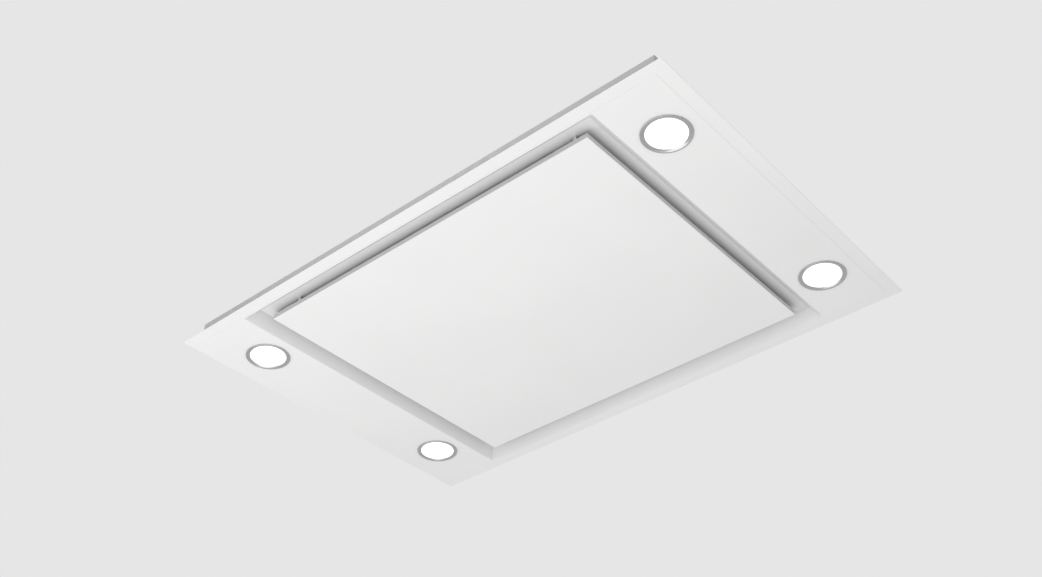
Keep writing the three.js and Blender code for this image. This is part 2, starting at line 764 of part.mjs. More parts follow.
// ---------------------------------------------------------------- grease filters
// Modelled about the filter's own middle; the latch is on the near side.
function filterFrame() {
  const halfX = filterWidth / 2;
  const halfY = filterDepth / 2;
  const bottom = ledgeUnder;
  const grooveBottom = bottom + filterSheet;
  const grooveTop = filterTop - filterSheet;
  const outside = slab(halfX, halfY, bottom, filterTop);
  const windowX = halfX - filterRail;
  const windowNear = filterNear + latchRail;
  const windowFar = halfY - filterRail;
  const opening = block(-windowX, windowX, windowNear, windowFar, bottom - cutPast, filterTop + cutPast);
  const groove = block(
    -windowX - grooveDepth, windowX + grooveDepth,
    windowNear - grooveDepth, windowFar + grooveDepth, grooveBottom, grooveTop,
  );
  const pocketHalf = latchWidth / 2 + slideGap;
  const pocketEnd = filterNear - tongueReach + latchLength + latchTravel + slideGap;
  const pocketTop = latchBottom + latchSheet + slideGap;
  const pocket = block(
    -pocketHalf, pocketHalf, filterNear - cutPast, pocketEnd, grooveBottom, pocketTop,
  );
  const gripHalf = gripWidth / 2 + slideGap;
  const gripNear = latchGripNear - slideGap;
  const gripFar = latchGripNear + gripLength + latchTravel + slideGap;
  const gripSlot = block(-gripHalf, gripHalf, gripNear, gripFar, bottom - cutPast, grooveBottom + cutPast);
  const frame = drilled(outside, [opening, groove, pocket, gripSlot]);
  const tonguePlace = halfX / 2;
  const tongueBottom = ledgeTop + turnedGap;
  const tongue = block(
    -tongueWidth / 2, tongueWidth / 2, halfY - filterSheet, halfY + tongueReach,
    tongueBottom, tongueBottom + tongueSheet,
  );
  return joined([frame, tongue.translate([-tonguePlace, 0, 0]), tongue.translate([tonguePlace, 0, 0])]);
}

const latchBottom = ledgeTop + turnedGap;
const latchGripNear = filterNear + gripInset;

function filterLatch() {
  const near = filterNear - tongueReach;
  const half = latchWidth / 2;
  const plate = block(-half, half, near, near + latchLength, latchBottom, latchBottom + latchSheet);
  const grip = block(
    -gripWidth / 2, gripWidth / 2, latchGripNear, latchGripNear + gripLength,
    ledgeUnder - gripDrop, latchBottom + latchSheet / 2,
  );
  return plate.add(grip);
}

// A pleated mesh pack whose edges sit in the frame's groove.
function filterCore() {
  const margin = grooveDepth - slideGap;
  const halfX = filterWidth / 2 - filterRail + margin;
  const near = filterNear + latchRail - margin;
  const far = filterDepth / 2 - filterRail + margin;
  const low = ledgeUnder + filterSheet + seatGap;
  const high = filterTop - filterSheet - seatGap;
  const steps = 2 * Math.round(halfX / pleatPitch) * 2;
  const lower = [];
  const upper = [];
  for (let i = 0; i <= steps; i += 1) {
    const x = -halfX + (2 * halfX * i) / steps;
    const dip = i % 2 === 0 ? low : high - pleatSheet;
    lower.push([x, dip]);
    upper.unshift([x, dip + pleatSheet]);
  }
  const pleats = prism([...lower, ...upper], 0, far - near);
  return pleats.rotate([90, 0, 0]).translate([0, far, 0]);
}

// ---------------------------------------------------------------- panel
function panelSkin() {
  const halfX = panelLength / 2;
  const halfY = panelDepth / 2;
  const outside = slab(halfX, halfY, panelZ, panelTop);
  const inside = slab(halfX - panelSheet, halfY - panelSheet, panelZ + panelSheet, panelTop + cutPast);
  return outside.subtract(inside);
}

function panelBack() {
  const halfX = panelLength / 2 - panelSheet - seatGap;
  const halfY = panelDepth / 2 - panelSheet - seatGap;
  const bottom = panelZ + panelSheet + seatGap;
  const outside = slab(halfX, halfY, bottom, panelTop);
  const inside = slab(
    halfX - panelBackSheet, halfY - panelBackSheet, bottom - cutPast, panelTop - panelBackSheet,
  );
  return outside.subtract(inside);
}

// Steel plate for the magnet, with an upturned stop at its +X end that sets the suction slot.
function strikePlate() {
  const near = -panelDepth / 2 + strikeEdge;
  const bottom = panelTop + seatGap;
  const half = strikeLength / 2;
  const plate = block(-half, half + lugWidth / 2, near, near + strikeReach, bottom, bottom + strikeSheet);
  const lug = block(
    half - lugWidth / 2, half + lugWidth / 2, near, near + lugSheet,
    bottom, ledgeUnder - turnedGap,
  );
  return plate.add(lug);
}

function catchMagnet() {
  const near = -panelDepth / 2 + magnetEdge;
  const bottom = panelTop + seatGap + strikeSheet + turnedGap;
  const half = strikeLength / 2;
  return block(-half, magnetLength - half, near, near + magnetWidth, bottom, ledgeUnder - seatGap);
}

// ---------------------------------------------------------------- hinges
// Both leaves are modelled about x = 0. The fixed leaf has the two outer knuckles.
function hingeBarrel(x0, x1) {
  const barrel = rod(knuckleRadius, 0, x1 - x0, smallSides);
  return lying(barrel, 'x').translate([x0, pinY, pinZ]);
}

function hingeBore() {
  const half = hingeWidth / 2 + cutPast;
  return lying(rod(hingePinRadius + shaftGap, -half, half, smallSides), 'x').translate([0, pinY, pinZ]);
}

function fixedLeaf() {
  const half = hingeWidth / 2;
  const inner = hingeKnuckle / 2 + knuckleGap;
  const top = ledgeUnder - seatGap;
  const bottom = top - hingeLeafSheet;
  const edge = pinY - knuckleRadius - knuckleGap;
  const leaf = block(-half, half, pinY - hingeLeafReach, edge, bottom, top);
  const parts = [leaf];
  for (const [x0, x1] of [[-half, -inner], [inner, half]]) {
    parts.push(hingeBarrel(x0, x1));
    parts.push(block(x0, x1, edge - knuckleGap, pinY, bottom, top));
  }
  return joined(parts).subtract(hingeBore());
}

function panelLeaf() {
  const half = hingeWidth / 2;
  const inner = hingeKnuckle / 2;
  const bottom = panelTop + seatGap;
  const top = bottom + hingeLeafSheet;
  const edge = pinY - knuckleRadius - knuckleGap;
  const leaf = block(-half, half, pinY - hingeLeafReach, edge, bottom, top);
  const bridge = block(-inner, inner, edge - knuckleGap, pinY, bottom, top);
  return joined([leaf, bridge, hingeBarrel(-inner, inner)]).subtract(hingeBore());
}

function hingePin() {
  const half = hingeWidth / 2;
  return lying(rod(hingePinRadius, -half, half, smallSides), 'x').translate([0, pinY, pinZ]);
}

// ---------------------------------------------------------------- assembly
const hood = new THREE.Group();

hood.add(piece('face_plate', facePlate(), whitePaint));
hood.add(piece('body_tray', bodyTray(), galvanised));
hood.add(piece('motor_housing', motorHousing(), galvanised));
hood.add(piece('housing_lid', housingLid(), galvanised));

const panel = new THREE.Group();
panel.add(piece('panel_skin', panelSkin(), whitePaint));
panel.add(piece('panel_back', panelBack(), galvanised));
hood.add(panel);

const sides = [['left', -fittingSpacing / 2], ['right', fittingSpacing / 2]];
for (const [side, x] of sides) {
  const moving = new THREE.Group();
  moving.position.x = x;
  moving.add(piece(`strike_plate_${side}`, strikePlate(), steel));
  moving.add(piece(`hinge_panel_leaf_${side}`, panelLeaf(), steel));
  panel.add(moving);
  const fixed = new THREE.Group();
  fixed.position.x = x;
  fixed.add(piece(`catch_magnet_${side}`, catchMagnet(), magnetBlack));
  fixed.add(piece(`hinge_fixed_leaf_${side}`, fixedLeaf(), steel));
  fixed.add(piece(`hinge_pin_${side}`, hingePin(), steel));
  hood.add(fixed);
}

for (const [side, x] of [['left', -filterCentreX], ['right', filterCentreX]]) {
  const filter = new THREE.Group();
  filter.position.x = x;
  filter.add(piece(`filter_frame_${side}`, filterFrame(), brushedAluminium));
  filter.add(piece(`filter_core_${side}`, filterCore(), brushedAluminium));
  filter.add(piece(`filter_latch_${side}`, filterLatch(), blackPlastic));
  hood.add(filter);
}

lampPlaces().forEach(([x, y], i) => {
  const lamp = new THREE.Group();
  lamp.position.set(x, y, faceZ);
  lamp.add(piece(`lamp_bezel_${i + 1}`, lampBezel(), chrome));
  lamp.add(piece(`lamp_lens_${i + 1}`, lampLens(), frosted));
  lamp.add(piece(`lamp_module_${i + 1}`, lampModule(), brushedAluminium));
  hood.add(lamp);
});

hood.add(piece('fan_scroll', fanScroll(), blackPlastic));
hood.add(piece('scroll_cover', scrollCover(), galvanised));
hood.add(piece('inlet_ring', inletRing(), blackPlastic));

const fan = new THREE.Group();
fan.position.set(fanX, fanY, 0);
fan.add(piece('impeller', impeller(), greyPlastic));
fan.add(piece('impeller_nut', impellerNut(), steel));
fan.add(piece('motor_shaft', motorShaft(), steel));
fan.add(piece('motor_body', motorBody(), steel));
fan.add(piece('bearing_lower', shaftBearing(motorBottom), steel));
fan.add(piece('bearing_upper', shaftBearing(motorTop + motorBossHeight - bearingHeight + seatGap), steel));
hood.add(fan);

const mountX = [fanX - scrollStart + mountInsetLeft, mouthWidth / 2 - mountInsetRight];
const mountY = [fanY - scrollStart / 2, fanY + scrollStart / 2];
mountX.forEach((x, i) => mountY.forEach((y, j) => {
  const mount = piece(`rubber_mount_${2 * i + j + 1}`, rubberMount(), rubber);
  mount.position.set(x, y, coverTop + seatGap);
  hood.add(mount);
}));

const outlet = new THREE.Group();
outlet.position.set(0, housingHalfY + turnedGap, outletZ);
outlet.rotation.x = -Math.PI / 2;
outlet.add(piece('outlet_collar', outletCollar(), blackPlastic));
outlet.add(piece('flap_pin', flapPin(), steel));
outlet.add(piece('flap_left', outletFlap(-1), greyPlastic));
outlet.add(piece('flap_right', outletFlap(1), greyPlastic));
hood.add(outlet);

let bracketNumber = 0;
for (const turn of [0, Math.PI]) {
  const end = new THREE.Group();
  end.rotation.z = turn;
  for (const y of [-bracketSpacing / 2, bracketSpacing / 2]) {
    bracketNumber += 1;
    const bracket = piece(`hanging_bracket_${bracketNumber}`, hangingBracket(), galvanised);
    bracket.position.set(housingHalfX + turnedGap, y, housingTop - bracketDrop);
    end.add(bracket);
  }
  hood.add(end);
}

const controls = new THREE.Group();
controls.position.set(boxX, 0, boxBottom);
controls.add(piece('control_box', controlBox(), greyPlastic));
controls.add(piece('control_box_lid', controlBoxLid(), greyPlastic));
controls.add(piece('control_board', controlBoard(), boardGreen));
controls.add(piece('run_capacitor', runCapacitor(), brushedAluminium));
controls.add(piece('cable_gland', cableGland(), blackPlastic));
hood.add(controls);

export default hood;
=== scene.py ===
import json
import math

import bmesh
import bpy
from mathutils import Matrix, Vector


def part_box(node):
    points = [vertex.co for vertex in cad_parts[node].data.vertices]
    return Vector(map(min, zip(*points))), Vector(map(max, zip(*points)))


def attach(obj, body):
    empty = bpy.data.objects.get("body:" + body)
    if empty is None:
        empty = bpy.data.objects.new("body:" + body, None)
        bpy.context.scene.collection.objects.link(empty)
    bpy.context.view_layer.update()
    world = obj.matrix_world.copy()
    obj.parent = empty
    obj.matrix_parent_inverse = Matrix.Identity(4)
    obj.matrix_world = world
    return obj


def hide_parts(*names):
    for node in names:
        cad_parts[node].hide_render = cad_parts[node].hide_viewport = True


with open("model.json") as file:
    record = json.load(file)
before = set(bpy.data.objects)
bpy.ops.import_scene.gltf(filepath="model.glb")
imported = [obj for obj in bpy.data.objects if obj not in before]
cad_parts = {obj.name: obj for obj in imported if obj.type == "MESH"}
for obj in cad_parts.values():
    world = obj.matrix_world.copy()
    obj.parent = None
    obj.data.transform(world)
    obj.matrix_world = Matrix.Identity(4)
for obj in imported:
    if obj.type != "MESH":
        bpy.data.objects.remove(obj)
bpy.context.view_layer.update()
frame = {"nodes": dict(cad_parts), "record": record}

MM = 0.001
UP, DOWN = (0, 0, 1), (0, 0, -1)
ALONG_X, ALONG_Y = (1, 0, 0), (0, 1, 0)
SIDES = (-1, 1)
WHITE = (1.0, 1.0, 1.0)


def box_mm(node):
    """A CAD node's lowest and highest corner in millimetres."""
    low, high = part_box(node)
    return low / MM, high / MM


def middle_half(node):
    """The middle of a CAD node's box and half its size, in millimetres."""
    low, high = box_mm(node)
    return (low + high) / 2, (high - low) / 2


# ---------------- camera, light and surroundings
CAMERA_PLACE = (1.01512, -1.21122, -1.14947)
CAMERA_FORWARD = (-0.51837, 0.60367, 0.60570)
CAMERA_UP = (0.39462, -0.45951, 0.79569)
CAMERA_LENS = 45.11
SENSOR_WIDTH = 36.0

BACKGROUND = 0.791  # linear value of the photo's plain grey
WORLD_LIGHT = 0.77
FLOOR_LEVEL = -2.3
FLOOR_RADIUS = 60.0
FLOOR_GLOW = 0.08

# name, place, target, length and width in metres, power in watts
LIGHTS = (
    ("key", (-0.05, -0.65, -0.75), (-0.05, -0.15, 0.0), 1.9, 0.4, 4.3),
    ("below", (-0.4, 0.0, -2.2), (-0.1, 0.0, 0.0), 1.5, 1.3, 6.8),
    ("top", (-1.2, -1.6, 2.0), (0.0, 0.0, 0.1), 1.6, 1.6, 20.0),
)


def make_camera():
    camera = bpy.data.objects.new("camera", bpy.data.cameras.new("camera"))
    camera.data.sensor_fit = "HORIZONTAL"
    camera.data.sensor_width = SENSOR_WIDTH
    camera.data.lens = CAMERA_LENS
    camera.data.clip_start = 0.01
    forward = Vector(CAMERA_FORWARD).normalized()
    right = forward.cross(Vector(CAMERA_UP)).normalized()
    turn = Matrix((right, right.cross(forward), -forward)).transposed().to_4x4()
    camera.matrix_world = Matrix.Translation(CAMERA_PLACE) @ turn
    bpy.context.scene.collection.objects.link(camera)
    bpy.context.scene.camera = camera


def soft_light(name, place, target, length, width, power):
    data = bpy.data.lights.new(name, "AREA")
    data.shape = "RECTANGLE"
    data.size = length
    data.size_y = width
    data.energy = power
    light = bpy.data.objects.new(name, data)
    light.location = place
    light.rotation_euler = (Vector(target) - Vector(place)).to_track_quat("-Z", "Y").to_euler()
    light.visible_camera = False
    bpy.context.scene.collection.objects.link(light)


def make_world():
    """Plain light all round. What the camera, gloss and glass see is the pale background."""
    world = bpy.data.worlds.new("studio")
    bpy.context.scene.world = world
    world.use_nodes = True
    tree = world.node_tree
    tree.nodes.clear()
    rays = add_node(tree, "LightPath").outputs
    seen = rays["Is Camera Ray"]
    for ray in ("Is Glossy Ray", "Is Transmission Ray"):
        either = add_node(tree, "Math", {0: seen, 1: rays[ray]}, operation="ADD", use_clamp=True)
        seen = either.outputs["Value"]
    light = add_node(tree, "Background", {"Color": WHITE, "Strength": WORLD_LIGHT})
    backdrop = add_node(tree, "Background", {"Color": (BACKGROUND,) * 3})
    choice = add_node(tree, "MixShader", {"Fac": seen, 1: light.outputs[0], 2: backdrop.outputs[0]})
    add_node(tree, "OutputWorld", {"Surface": choice.outputs["Shader"]})


def make_floor():
    bm = bmesh.new()
    bmesh.ops.create_circle(bm, cap_ends=True, segments=96, radius=FLOOR_RADIUS / MM)
    floor = new_object("floor", bm)
    floor.location.z = FLOOR_LEVEL
    material, tree, shader = new_material("pale_floor", {"Roughness": 0.9, "Emission Color": WHITE})
    colour = varied(tree, noise(tree, 3.0, 4.0), (0.78, 0.78, 0.78), (0.80, 0.80, 0.80))
    camera_ray = add_node(tree, "LightPath").outputs["Is Camera Ray"]
    tree.links.new(colour, shader.inputs["Base Color"])
    tree.links.new(spread(tree, camera_ray, 0.0, FLOOR_GLOW, 0.0, 1.0), shader.inputs["Emission Strength"])
    floor.data.materials.append(material)


# ---------------- material helpers
def add_node(tree, kind, inputs=None, **settings):
    """A shader node with its settings. An input is a value or another node's socket."""
    node = tree.nodes.new("ShaderNode" + kind)
    for name, value in settings.items():
        setattr(node, name, value)
    for key, value in (inputs or {}).items():
        socket = node.inputs[key]
        if isinstance(value, bpy.types.NodeSocket):
            tree.links.new(value, socket)
        else:
            socket.default_value = (*value, 1.0) if socket.type == "RGBA" else value
    return node


def new_material(name, inputs=None):
    material = bpy.data.materials.new(name)
    material.use_nodes = True
    tree = material.node_tree
    tree.nodes.clear()
    shader = add_node(tree, "BsdfPrincipled", inputs)
    add_node(tree, "OutputMaterial", {"Surface": shader.outputs["BSDF"]})
    return material, tree, shader


def coordinates(tree, stretch):
    """The object's own metres, stretched per axis."""
    place = add_node(tree, "TexCoord").outputs["Object"]
    return add_node(tree, "Mapping", {"Vector": place, "Scale": stretch}).outputs["Vector"]


def noise(tree, scale, detail, stretch=(1.0, 1.0, 1.0)):
    inputs = {"Vector": coordinates(tree, stretch), "Scale": scale, "Detail": detail}
    return add_node(tree, "TexNoise", inputs).outputs["Fac"]


def cells(tree, scale, feature, stretch=(1.0, 1.0, 1.0)):
    """The outputs of a cell pattern."""
    inputs = {"Vector": coordinates(tree, stretch), "Scale": scale}
    return add_node(tree, "TexVoronoi", inputs, feature=feature).outputs


def spread(tree, value, low, high, from_low=0.3, from_high=0.7):
    """A value from one range moved to another."""
    inputs = {"Value": value, "From Min": from_low, "From Max": from_high, "To Min": low, "To Max": high}
    return add_node(tree, "MapRange", inputs).outputs["Result"]


def mixed(tree, factor, first, second):
    """Two colours mixed. Each is a colour or a socket."""
    colour_a, colour_b, colour_out = 6, 7, 2
    inputs = {"Factor": factor, colour_a: first, colour_b: second}
    return add_node(tree, "Mix", inputs, data_type="RGBA").outputs[colour_out]


def varied(tree, value, dark, light):
    """A colour that goes from dark to light with a noise value."""
    return mixed(tree, spread(tree, value, 0.0, 1.0), dark, light)


def worn_edges(tree, radius):
    """1 on sharp edges and 0 on flat stretches."""
    rounded = add_node(tree, "Bevel", {"Radius": radius}, samples=4).outputs["Normal"]
    flat = add_node(tree, "NewGeometry").outputs["Normal"]
    match = add_node(tree, "VectorMath", {0: rounded, 1: flat}, operation="DOT_PRODUCT")
    return spread(tree, match.outputs["Value"], 1.0, 0.0, 0.75, 0.98)


def dress(tree, shader, base, edge, rough, bump):
    """Joins a base colour with a worn edge's colour and radius, a roughness and a bump's depth."""
    if edge:
        edge_colour, radius = edge
        broken = spread(tree, noise(tree, 260.0, 3.0), 0.2, 1.0)
        wear = add_node(tree, "Math", {0: worn_edges(tree, radius), 1: broken}, operation="MULTIPLY")
        base = mixed(tree, wear.outputs["Value"], base, edge_colour)
    height, depth = bump
    normal = add_node(tree, "Bump", {"Height": height, "Distance": depth}).outputs["Normal"]
    tree.links.new(base, shader.inputs["Base Color"])
    tree.links.new(spread(tree, *rough), shader.inputs["Roughness"])
    tree.links.new(normal, shader.inputs["Normal"])


# ---------------- finishes, one for each slot
def noise_finish(name, inputs, colour, edge, rough, bump):
    """A finish whose colour, roughness and bump each follow a noise pattern."""
    material, tree, shader = new_material(name, inputs)
    pattern, dark, light = colour
    base = varied(tree, noise(tree, *pattern), dark, light)
    dress(tree, shader, base, edge, (noise(tree, *rough[0]), *rough[1:]), (noise(tree, *bump[0]), bump[1]))
    return material


def white_paint():
    """Satin paint with painted shade: a little darker in slots and corners narrower than 60 mm."""
    material, tree, shader = new_material("white_paint", {"Coat Weight": 0.12, "Coat Roughness": 0.25})
    open_paint = varied(tree, noise(tree, 6.0, 3.0), (0.815, 0.815, 0.812), (0.835, 0.835, 0.832))
    # Painted shade: ambient occlusion within 60 mm mixes the paint towards 0.62 grey in slots, recesses and
    # corners.
    painted_shade_ao = add_node(tree, "AmbientOcclusion", {"Distance": 0.06}, samples=8).outputs["AO"]
    base = mixed(tree, spread(tree, painted_shade_ao, 0.0, 1.0, 0.55, 0.99), (0.62, 0.62, 0.62), open_paint)
    dress(tree, shader, base, ((0.86, 0.86, 0.858), 0.0006), (noise(tree, 45.0, 4.0), 0.38, 0.46),
          (noise(tree, 620.0, 2.0), 0.000012))
    return material


def galvanised_sheet():
    material, tree, shader = new_material("galvanised_sheet", {"Metallic": 0.35})
    spangle = cells(tree, 125.0, "F1")["Color"]
    flake = add_node(tree, "RGBToBW", {"Color": spangle}).outputs["Val"]
    base = varied(tree, flake, (0.378, 0.382, 0.386), (0.458, 0.462, 0.466))
    dress(tree, shader, base, ((0.78, 0.78, 0.78), 0.0005), (flake, 0.50, 0.64),
          (noise(tree, 900.0, 3.0), 0.00002))
    return material


def circuit_board():
    material, tree, shader = new_material("circuit_board")
    traces = cells(tree, 160.0, "DISTANCE_TO_EDGE", (1.0, 1.0, 0.0))["Distance"]
    track = spread(tree, traces, 1.0, 0.0, 0.04, 0.07)
    laminate = varied(tree, noise(tree, 400.0, 3.0), (0.012, 0.075, 0.03), (0.018, 0.11, 0.045))
    base = mixed(tree, track, laminate, (0.05, 0.22, 0.09))
    dress(tree, shader, base, None, (noise(tree, 90.0, 2.0), 0.3, 0.45), (track, 0.00005))
    return material


# name: shader inputs, colour, worn edge, roughness and bump; a pattern is a noise's scale and detail
GLOW = {"Emission Color": WHITE, "Emission Strength": 1.0}
STREAKS = (160.0, 4.0, (0.15, 2.0, 2.0))
BRUSHED = (300.0, 5.0, (0.05, 1.0, 1.0))
SATIN = (420.0, 4.0)
MOULDED = ((30.0, 4.0), (80.0, 3.0), ((1400.0, 3.0), 0.00004))
GRIT = (1100.0, 4.0)
DUST = (120.0, 5.0)
NOISE_FINISHES = {
    "steel_fitting": ({"Metallic": 0.55}, (STREAKS, (0.62, 0.625, 0.63), (0.70, 0.70, 0.695)),
                      ((0.80, 0.80, 0.79), 0.0004), (STREAKS, 0.24, 0.40), (STREAKS, 0.00001)),
    "aluminium": ({"Metallic": 1.0}, (BRUSHED, (0.66, 0.665, 0.67), (0.74, 0.745, 0.745)),
                  ((0.86, 0.86, 0.86), 0.0004), (BRUSHED, 0.28, 0.42), (BRUSHED, 0.00001)),
    "chrome_ring": ({"Metallic": 1.0}, (SATIN, (0.52, 0.52, 0.525), (0.58, 0.58, 0.585)),
                    ((0.72, 0.72, 0.72), 0.0003), ((60.0, 3.0), 0.18, 0.28), (SATIN, 0.000005)),
    "frosted_lens": (GLOW, ((200.0, 2.0), (0.90, 0.90, 0.90), (0.95, 0.95, 0.95)), None,
                     ((500.0, 2.0), 0.45, 0.6), ((1500.0, 2.0), 0.00002)),
    "black_plastic": ({}, (MOULDED[0], (0.016, 0.017, 0.018), (0.024, 0.025, 0.026)),
                      ((0.0484, 0.05, 0.0516), 0.0005), (MOULDED[1], 0.45, 0.62), MOULDED[2]),
    "grey_plastic": ({}, (MOULDED[0], (0.19, 0.20, 0.205), (0.23, 0.24, 0.245)),
                     ((0.378, 0.394, 0.402), 0.0005), (MOULDED[1], 0.42, 0.58), MOULDED[2]),
    "magnet": ({"Metallic": 0.2}, (GRIT, (0.025, 0.025, 0.027), (0.045, 0.045, 0.047)),
               ((0.12, 0.12, 0.12), 0.0005), (GRIT, 0.5, 0.7), (GRIT, 0.00003)),
    "rubber": ({}, (DUST, (0.012, 0.012, 0.012), (0.035, 0.034, 0.033)), None, (DUST, 0.75, 0.92),
               ((1000.0, 3.0), 0.00005)),
}


def make_finishes():
    made = {make.__name__: make() for make in (white_paint, galvanised_sheet, circuit_board)}
    made.update({name: noise_finish(name, *looks) for name, looks in NOISE_FINISHES.items()})
    return made


# ---------------- mesh helpers, in millimetres
CORNER_STEPS = 5
SMOOTH_BELOW = 32  # degrees
SMOOTH_CAD_BELOW = 34
BEVEL_ABOVE = 40
FLAT_WITHIN = 0.5
WELD_REACH = 0.01
CAD_BEVELS = {"magnet": 0.5, "control": 0.7}
PLAIN_BEVEL = 0.25


def arc(centre, radius, start, end, steps):
    """Points of an arc in a profile, its angles in degrees."""
    x, y = centre
    angles = [math.radians(start + (end - start) * i / steps) for i in range(steps + 1)]
    return [(x + radius * math.cos(angle), y + radius * math.sin(angle)) for angle in angles]


def near(x, z, steps):
    """Points of a profile, each a step from one place."""
    return [(x + step_x, z + step_z) for step_x, step_z in steps]


def mirrored(steps):
    """The steps of a profile's other end."""
    return [(x, -z) for x, z in reversed(steps)]


def circle(radius, z, segments, centre=(0, 0)):
    return [Vector((*point, z)) for point in arc(centre, radius, 0, 360, segments)[:-1]]


def rectangle(half_x, half_y, z, radius):
    """A ring of points round a rectangle with rounded corners."""
    points = []
    for side_x, side_y, start in ((1, 1, 0), (-1, 1, 90), (-1, -1, 180), (1, -1, 270)):
        middle = (side_x * (half_x - radius), side_y * (half_y - radius))
        points += [Vector((*point, z)) for point in arc(middle, radius, start, start + 90, CORNER_STEPS)]
    return points


def frames(half_x, half_y, steps, corner):
    """A rectangle for each step, which is an offset outwards and a height."""
    return [rectangle(half_x + offset, half_y + offset, z, corner) for offset, z in steps]


def moved(rings, x, y):
    return [[point + Vector((x, y, 0)) for point in ring] for ring in rings]


def loft(rings, capped=True):
    """A closed mesh through rings of points. It ends in flat caps, or closes on its first ring."""
    bm = bmesh.new()
    made = [[bm.verts.new(point) for point in ring] for ring in rings]
    pairs = list(zip(made, made[1:]))
    if not capped:
        pairs.append((made[-1], made[0]))
    for first, second in pairs:
        for i, corner in enumerate(first):
            after = (i + 1) % len(first)
            bm.faces.new((corner, first[after], second[after], second[i]))
    if capped:
        bm.faces.new(made[0])
        bm.faces.new(made[-1])
    bmesh.ops.recalc_face_normals(bm, faces=bm.faces)
    return bm


def turned(profile, segments, centre=(0, 0), capped=False):
    """A profile of (radius, height) pairs turned about an upright axis."""
    return loft([circle(radius, z, segments, centre) for radius, z in profile], capped)


def placed(bm, place, axis=UP, spin=0):
    """A mesh built about +Z, turned to point along an axis and moved to its place."""
    turn = Vector(UP).rotation_difference(Vector(axis)).to_matrix().to_4x4()
    bm.transform(Matrix.Translation(place) @ turn @ Matrix.Rotation(spin, 4, "Z"))
    return bm


def drill(radius, start, end, segments, place, axis=UP):
    """A cylinder that cuts a hole, from start to end along an axis through a place."""
    return placed(turned([(radius, start), (radius, end)], segments, capped=True), place, axis)


def block(low, high):
    bm = bmesh.new()
    bmesh.ops.create_cube(bm, size=1)
    low, high = Vector(low), Vector(high)
    bm.transform(Matrix.Translation((low + high) / 2) @ Matrix.Diagonal((*(high - low), 1)))
    return bm


def gathered(meshes):
    """Several separate closed meshes as one."""
    whole = bmesh.new()
    for bm in meshes:
        part = bpy.data.meshes.new("part")
        bm.to_mesh(part)
        bm.free()
        whole.from_mesh(part)
        bpy.data.meshes.remove(part)
    return whole


def new_object(name, bm):
    """An object in metres from a mesh in millimetres."""
    bmesh.ops.scale(bm, vec=(MM, MM, MM), verts=bm.verts)
    mesh = bpy.data.meshes.new(name)
    bm.to_mesh(mesh)
    bm.free()
    made = bpy.data.objects.new(name, mesh)
    bpy.context.scene.collection.objects.link(made)
    return made


def combine(piece, tools, operation):
    """Adds closed meshes to a piece, or takes them away."""
    for bm in tools:
        tool = new_object("tool", bm)
        step = piece.modifiers.new("combine", "BOOLEAN")
        step.operation = operation
        step.solver = "EXACT"
        step.object = tool
        state = piece.evaluated_get(bpy.context.evaluated_depsgraph_get())
        result = bpy.data.meshes.new_from_object(state)
        piece.modifiers.clear()
        piece.data = result
        bpy.data.objects.remove(tool)


def round_edges(thing, width):
    step = thing.modifiers.new("edges", "BEVEL")
    step.width = width * MM
    step.segments = 2
    step.limit_method = "ANGLE"
    step.angle_limit = math.radians(BEVEL_ABOVE)


def add_piece(name, bm, slot, node=None, added=(), cutters=(), edge=0, body="hood"):
    """A piece of the object: its mesh, finish and body, and the CAD node that it stands for."""
    piece = new_object(name, bm)
    combine(piece, added, "UNION")
    combine(piece, cutters, "DIFFERENCE")
    mesh = piece.data
    mesh.polygons.foreach_set("use_smooth", [True] * len(mesh.polygons))
    mesh.set_sharp_from_angle(angle=math.radians(SMOOTH_BELOW))
    mesh.materials.clear()
    mesh.materials.append(finishes[slot])
    if edge:
        round_edges(piece, edge)
    level = piece.modifiers.new("even_shading", "WEIGHTED_NORMAL")
    level.keep_sharp = True
    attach(piece, body)
    if node:
        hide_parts(node)


# ---------------- carried-over CAD nodes
def shading_group():
    """Nodes that smooth everything but sharp edges."""
    group = bpy.data.node_groups.new("smooth_by_angle", "GeometryNodeTree")
    for side in ("INPUT", "OUTPUT"):
        group.interface.new_socket("Geometry", in_out=side, socket_type="NodeSocketGeometry")
    new, link = group.nodes.new, group.links.new
    start, end = new("NodeGroupInput"), new("NodeGroupOutput")
    faces, edges = new("GeometryNodeSetShadeSmooth"), new("GeometryNodeSetShadeSmooth")
    faces.domain, edges.domain = "FACE", "EDGE"
    fold, test = new("GeometryNodeInputMeshEdgeAngle"), new("FunctionNodeCompare")
    test.data_type = "FLOAT"
    test.operation = "LESS_THAN"
    test.inputs[1].default_value = math.radians(SMOOTH_CAD_BELOW)
    link(start.outputs[0], faces.inputs["Geometry"])
    link(faces.outputs["Geometry"], edges.inputs["Geometry"])
    link(fold.outputs["Unsigned Angle"], test.inputs[0])
    link(test.outputs["Result"], edges.inputs["Shade Smooth"])
    link(edges.outputs["Geometry"], end.inputs[0])
    return group


def dress_cad_nodes():
    """Every CAD node gets its slot's finish and soft edges; its mesh stays as it is."""
    group = shading_group()
    for part in frame["record"]["subparts"]:
        name = part["node"]
        node = frame["nodes"][name]
        node.data.materials.clear()
        node.data.materials.append(finishes[part["material_slot"]])
        weld = node.modifiers.new("weld", "WELD")
        weld.merge_threshold = WELD_REACH * MM
        flat = node.modifiers.new("flat_faces", "DECIMATE")
        flat.decimate_type = "DISSOLVE"
        flat.angle_limit = math.radians(FLAT_WITHIN)
        round_edges(node, next((width for key, width in CAD_BEVELS.items() if key in name), PLAIN_BEVEL))
        shade = node.modifiers.new("shading", "NODES")
        shade.node_group = group


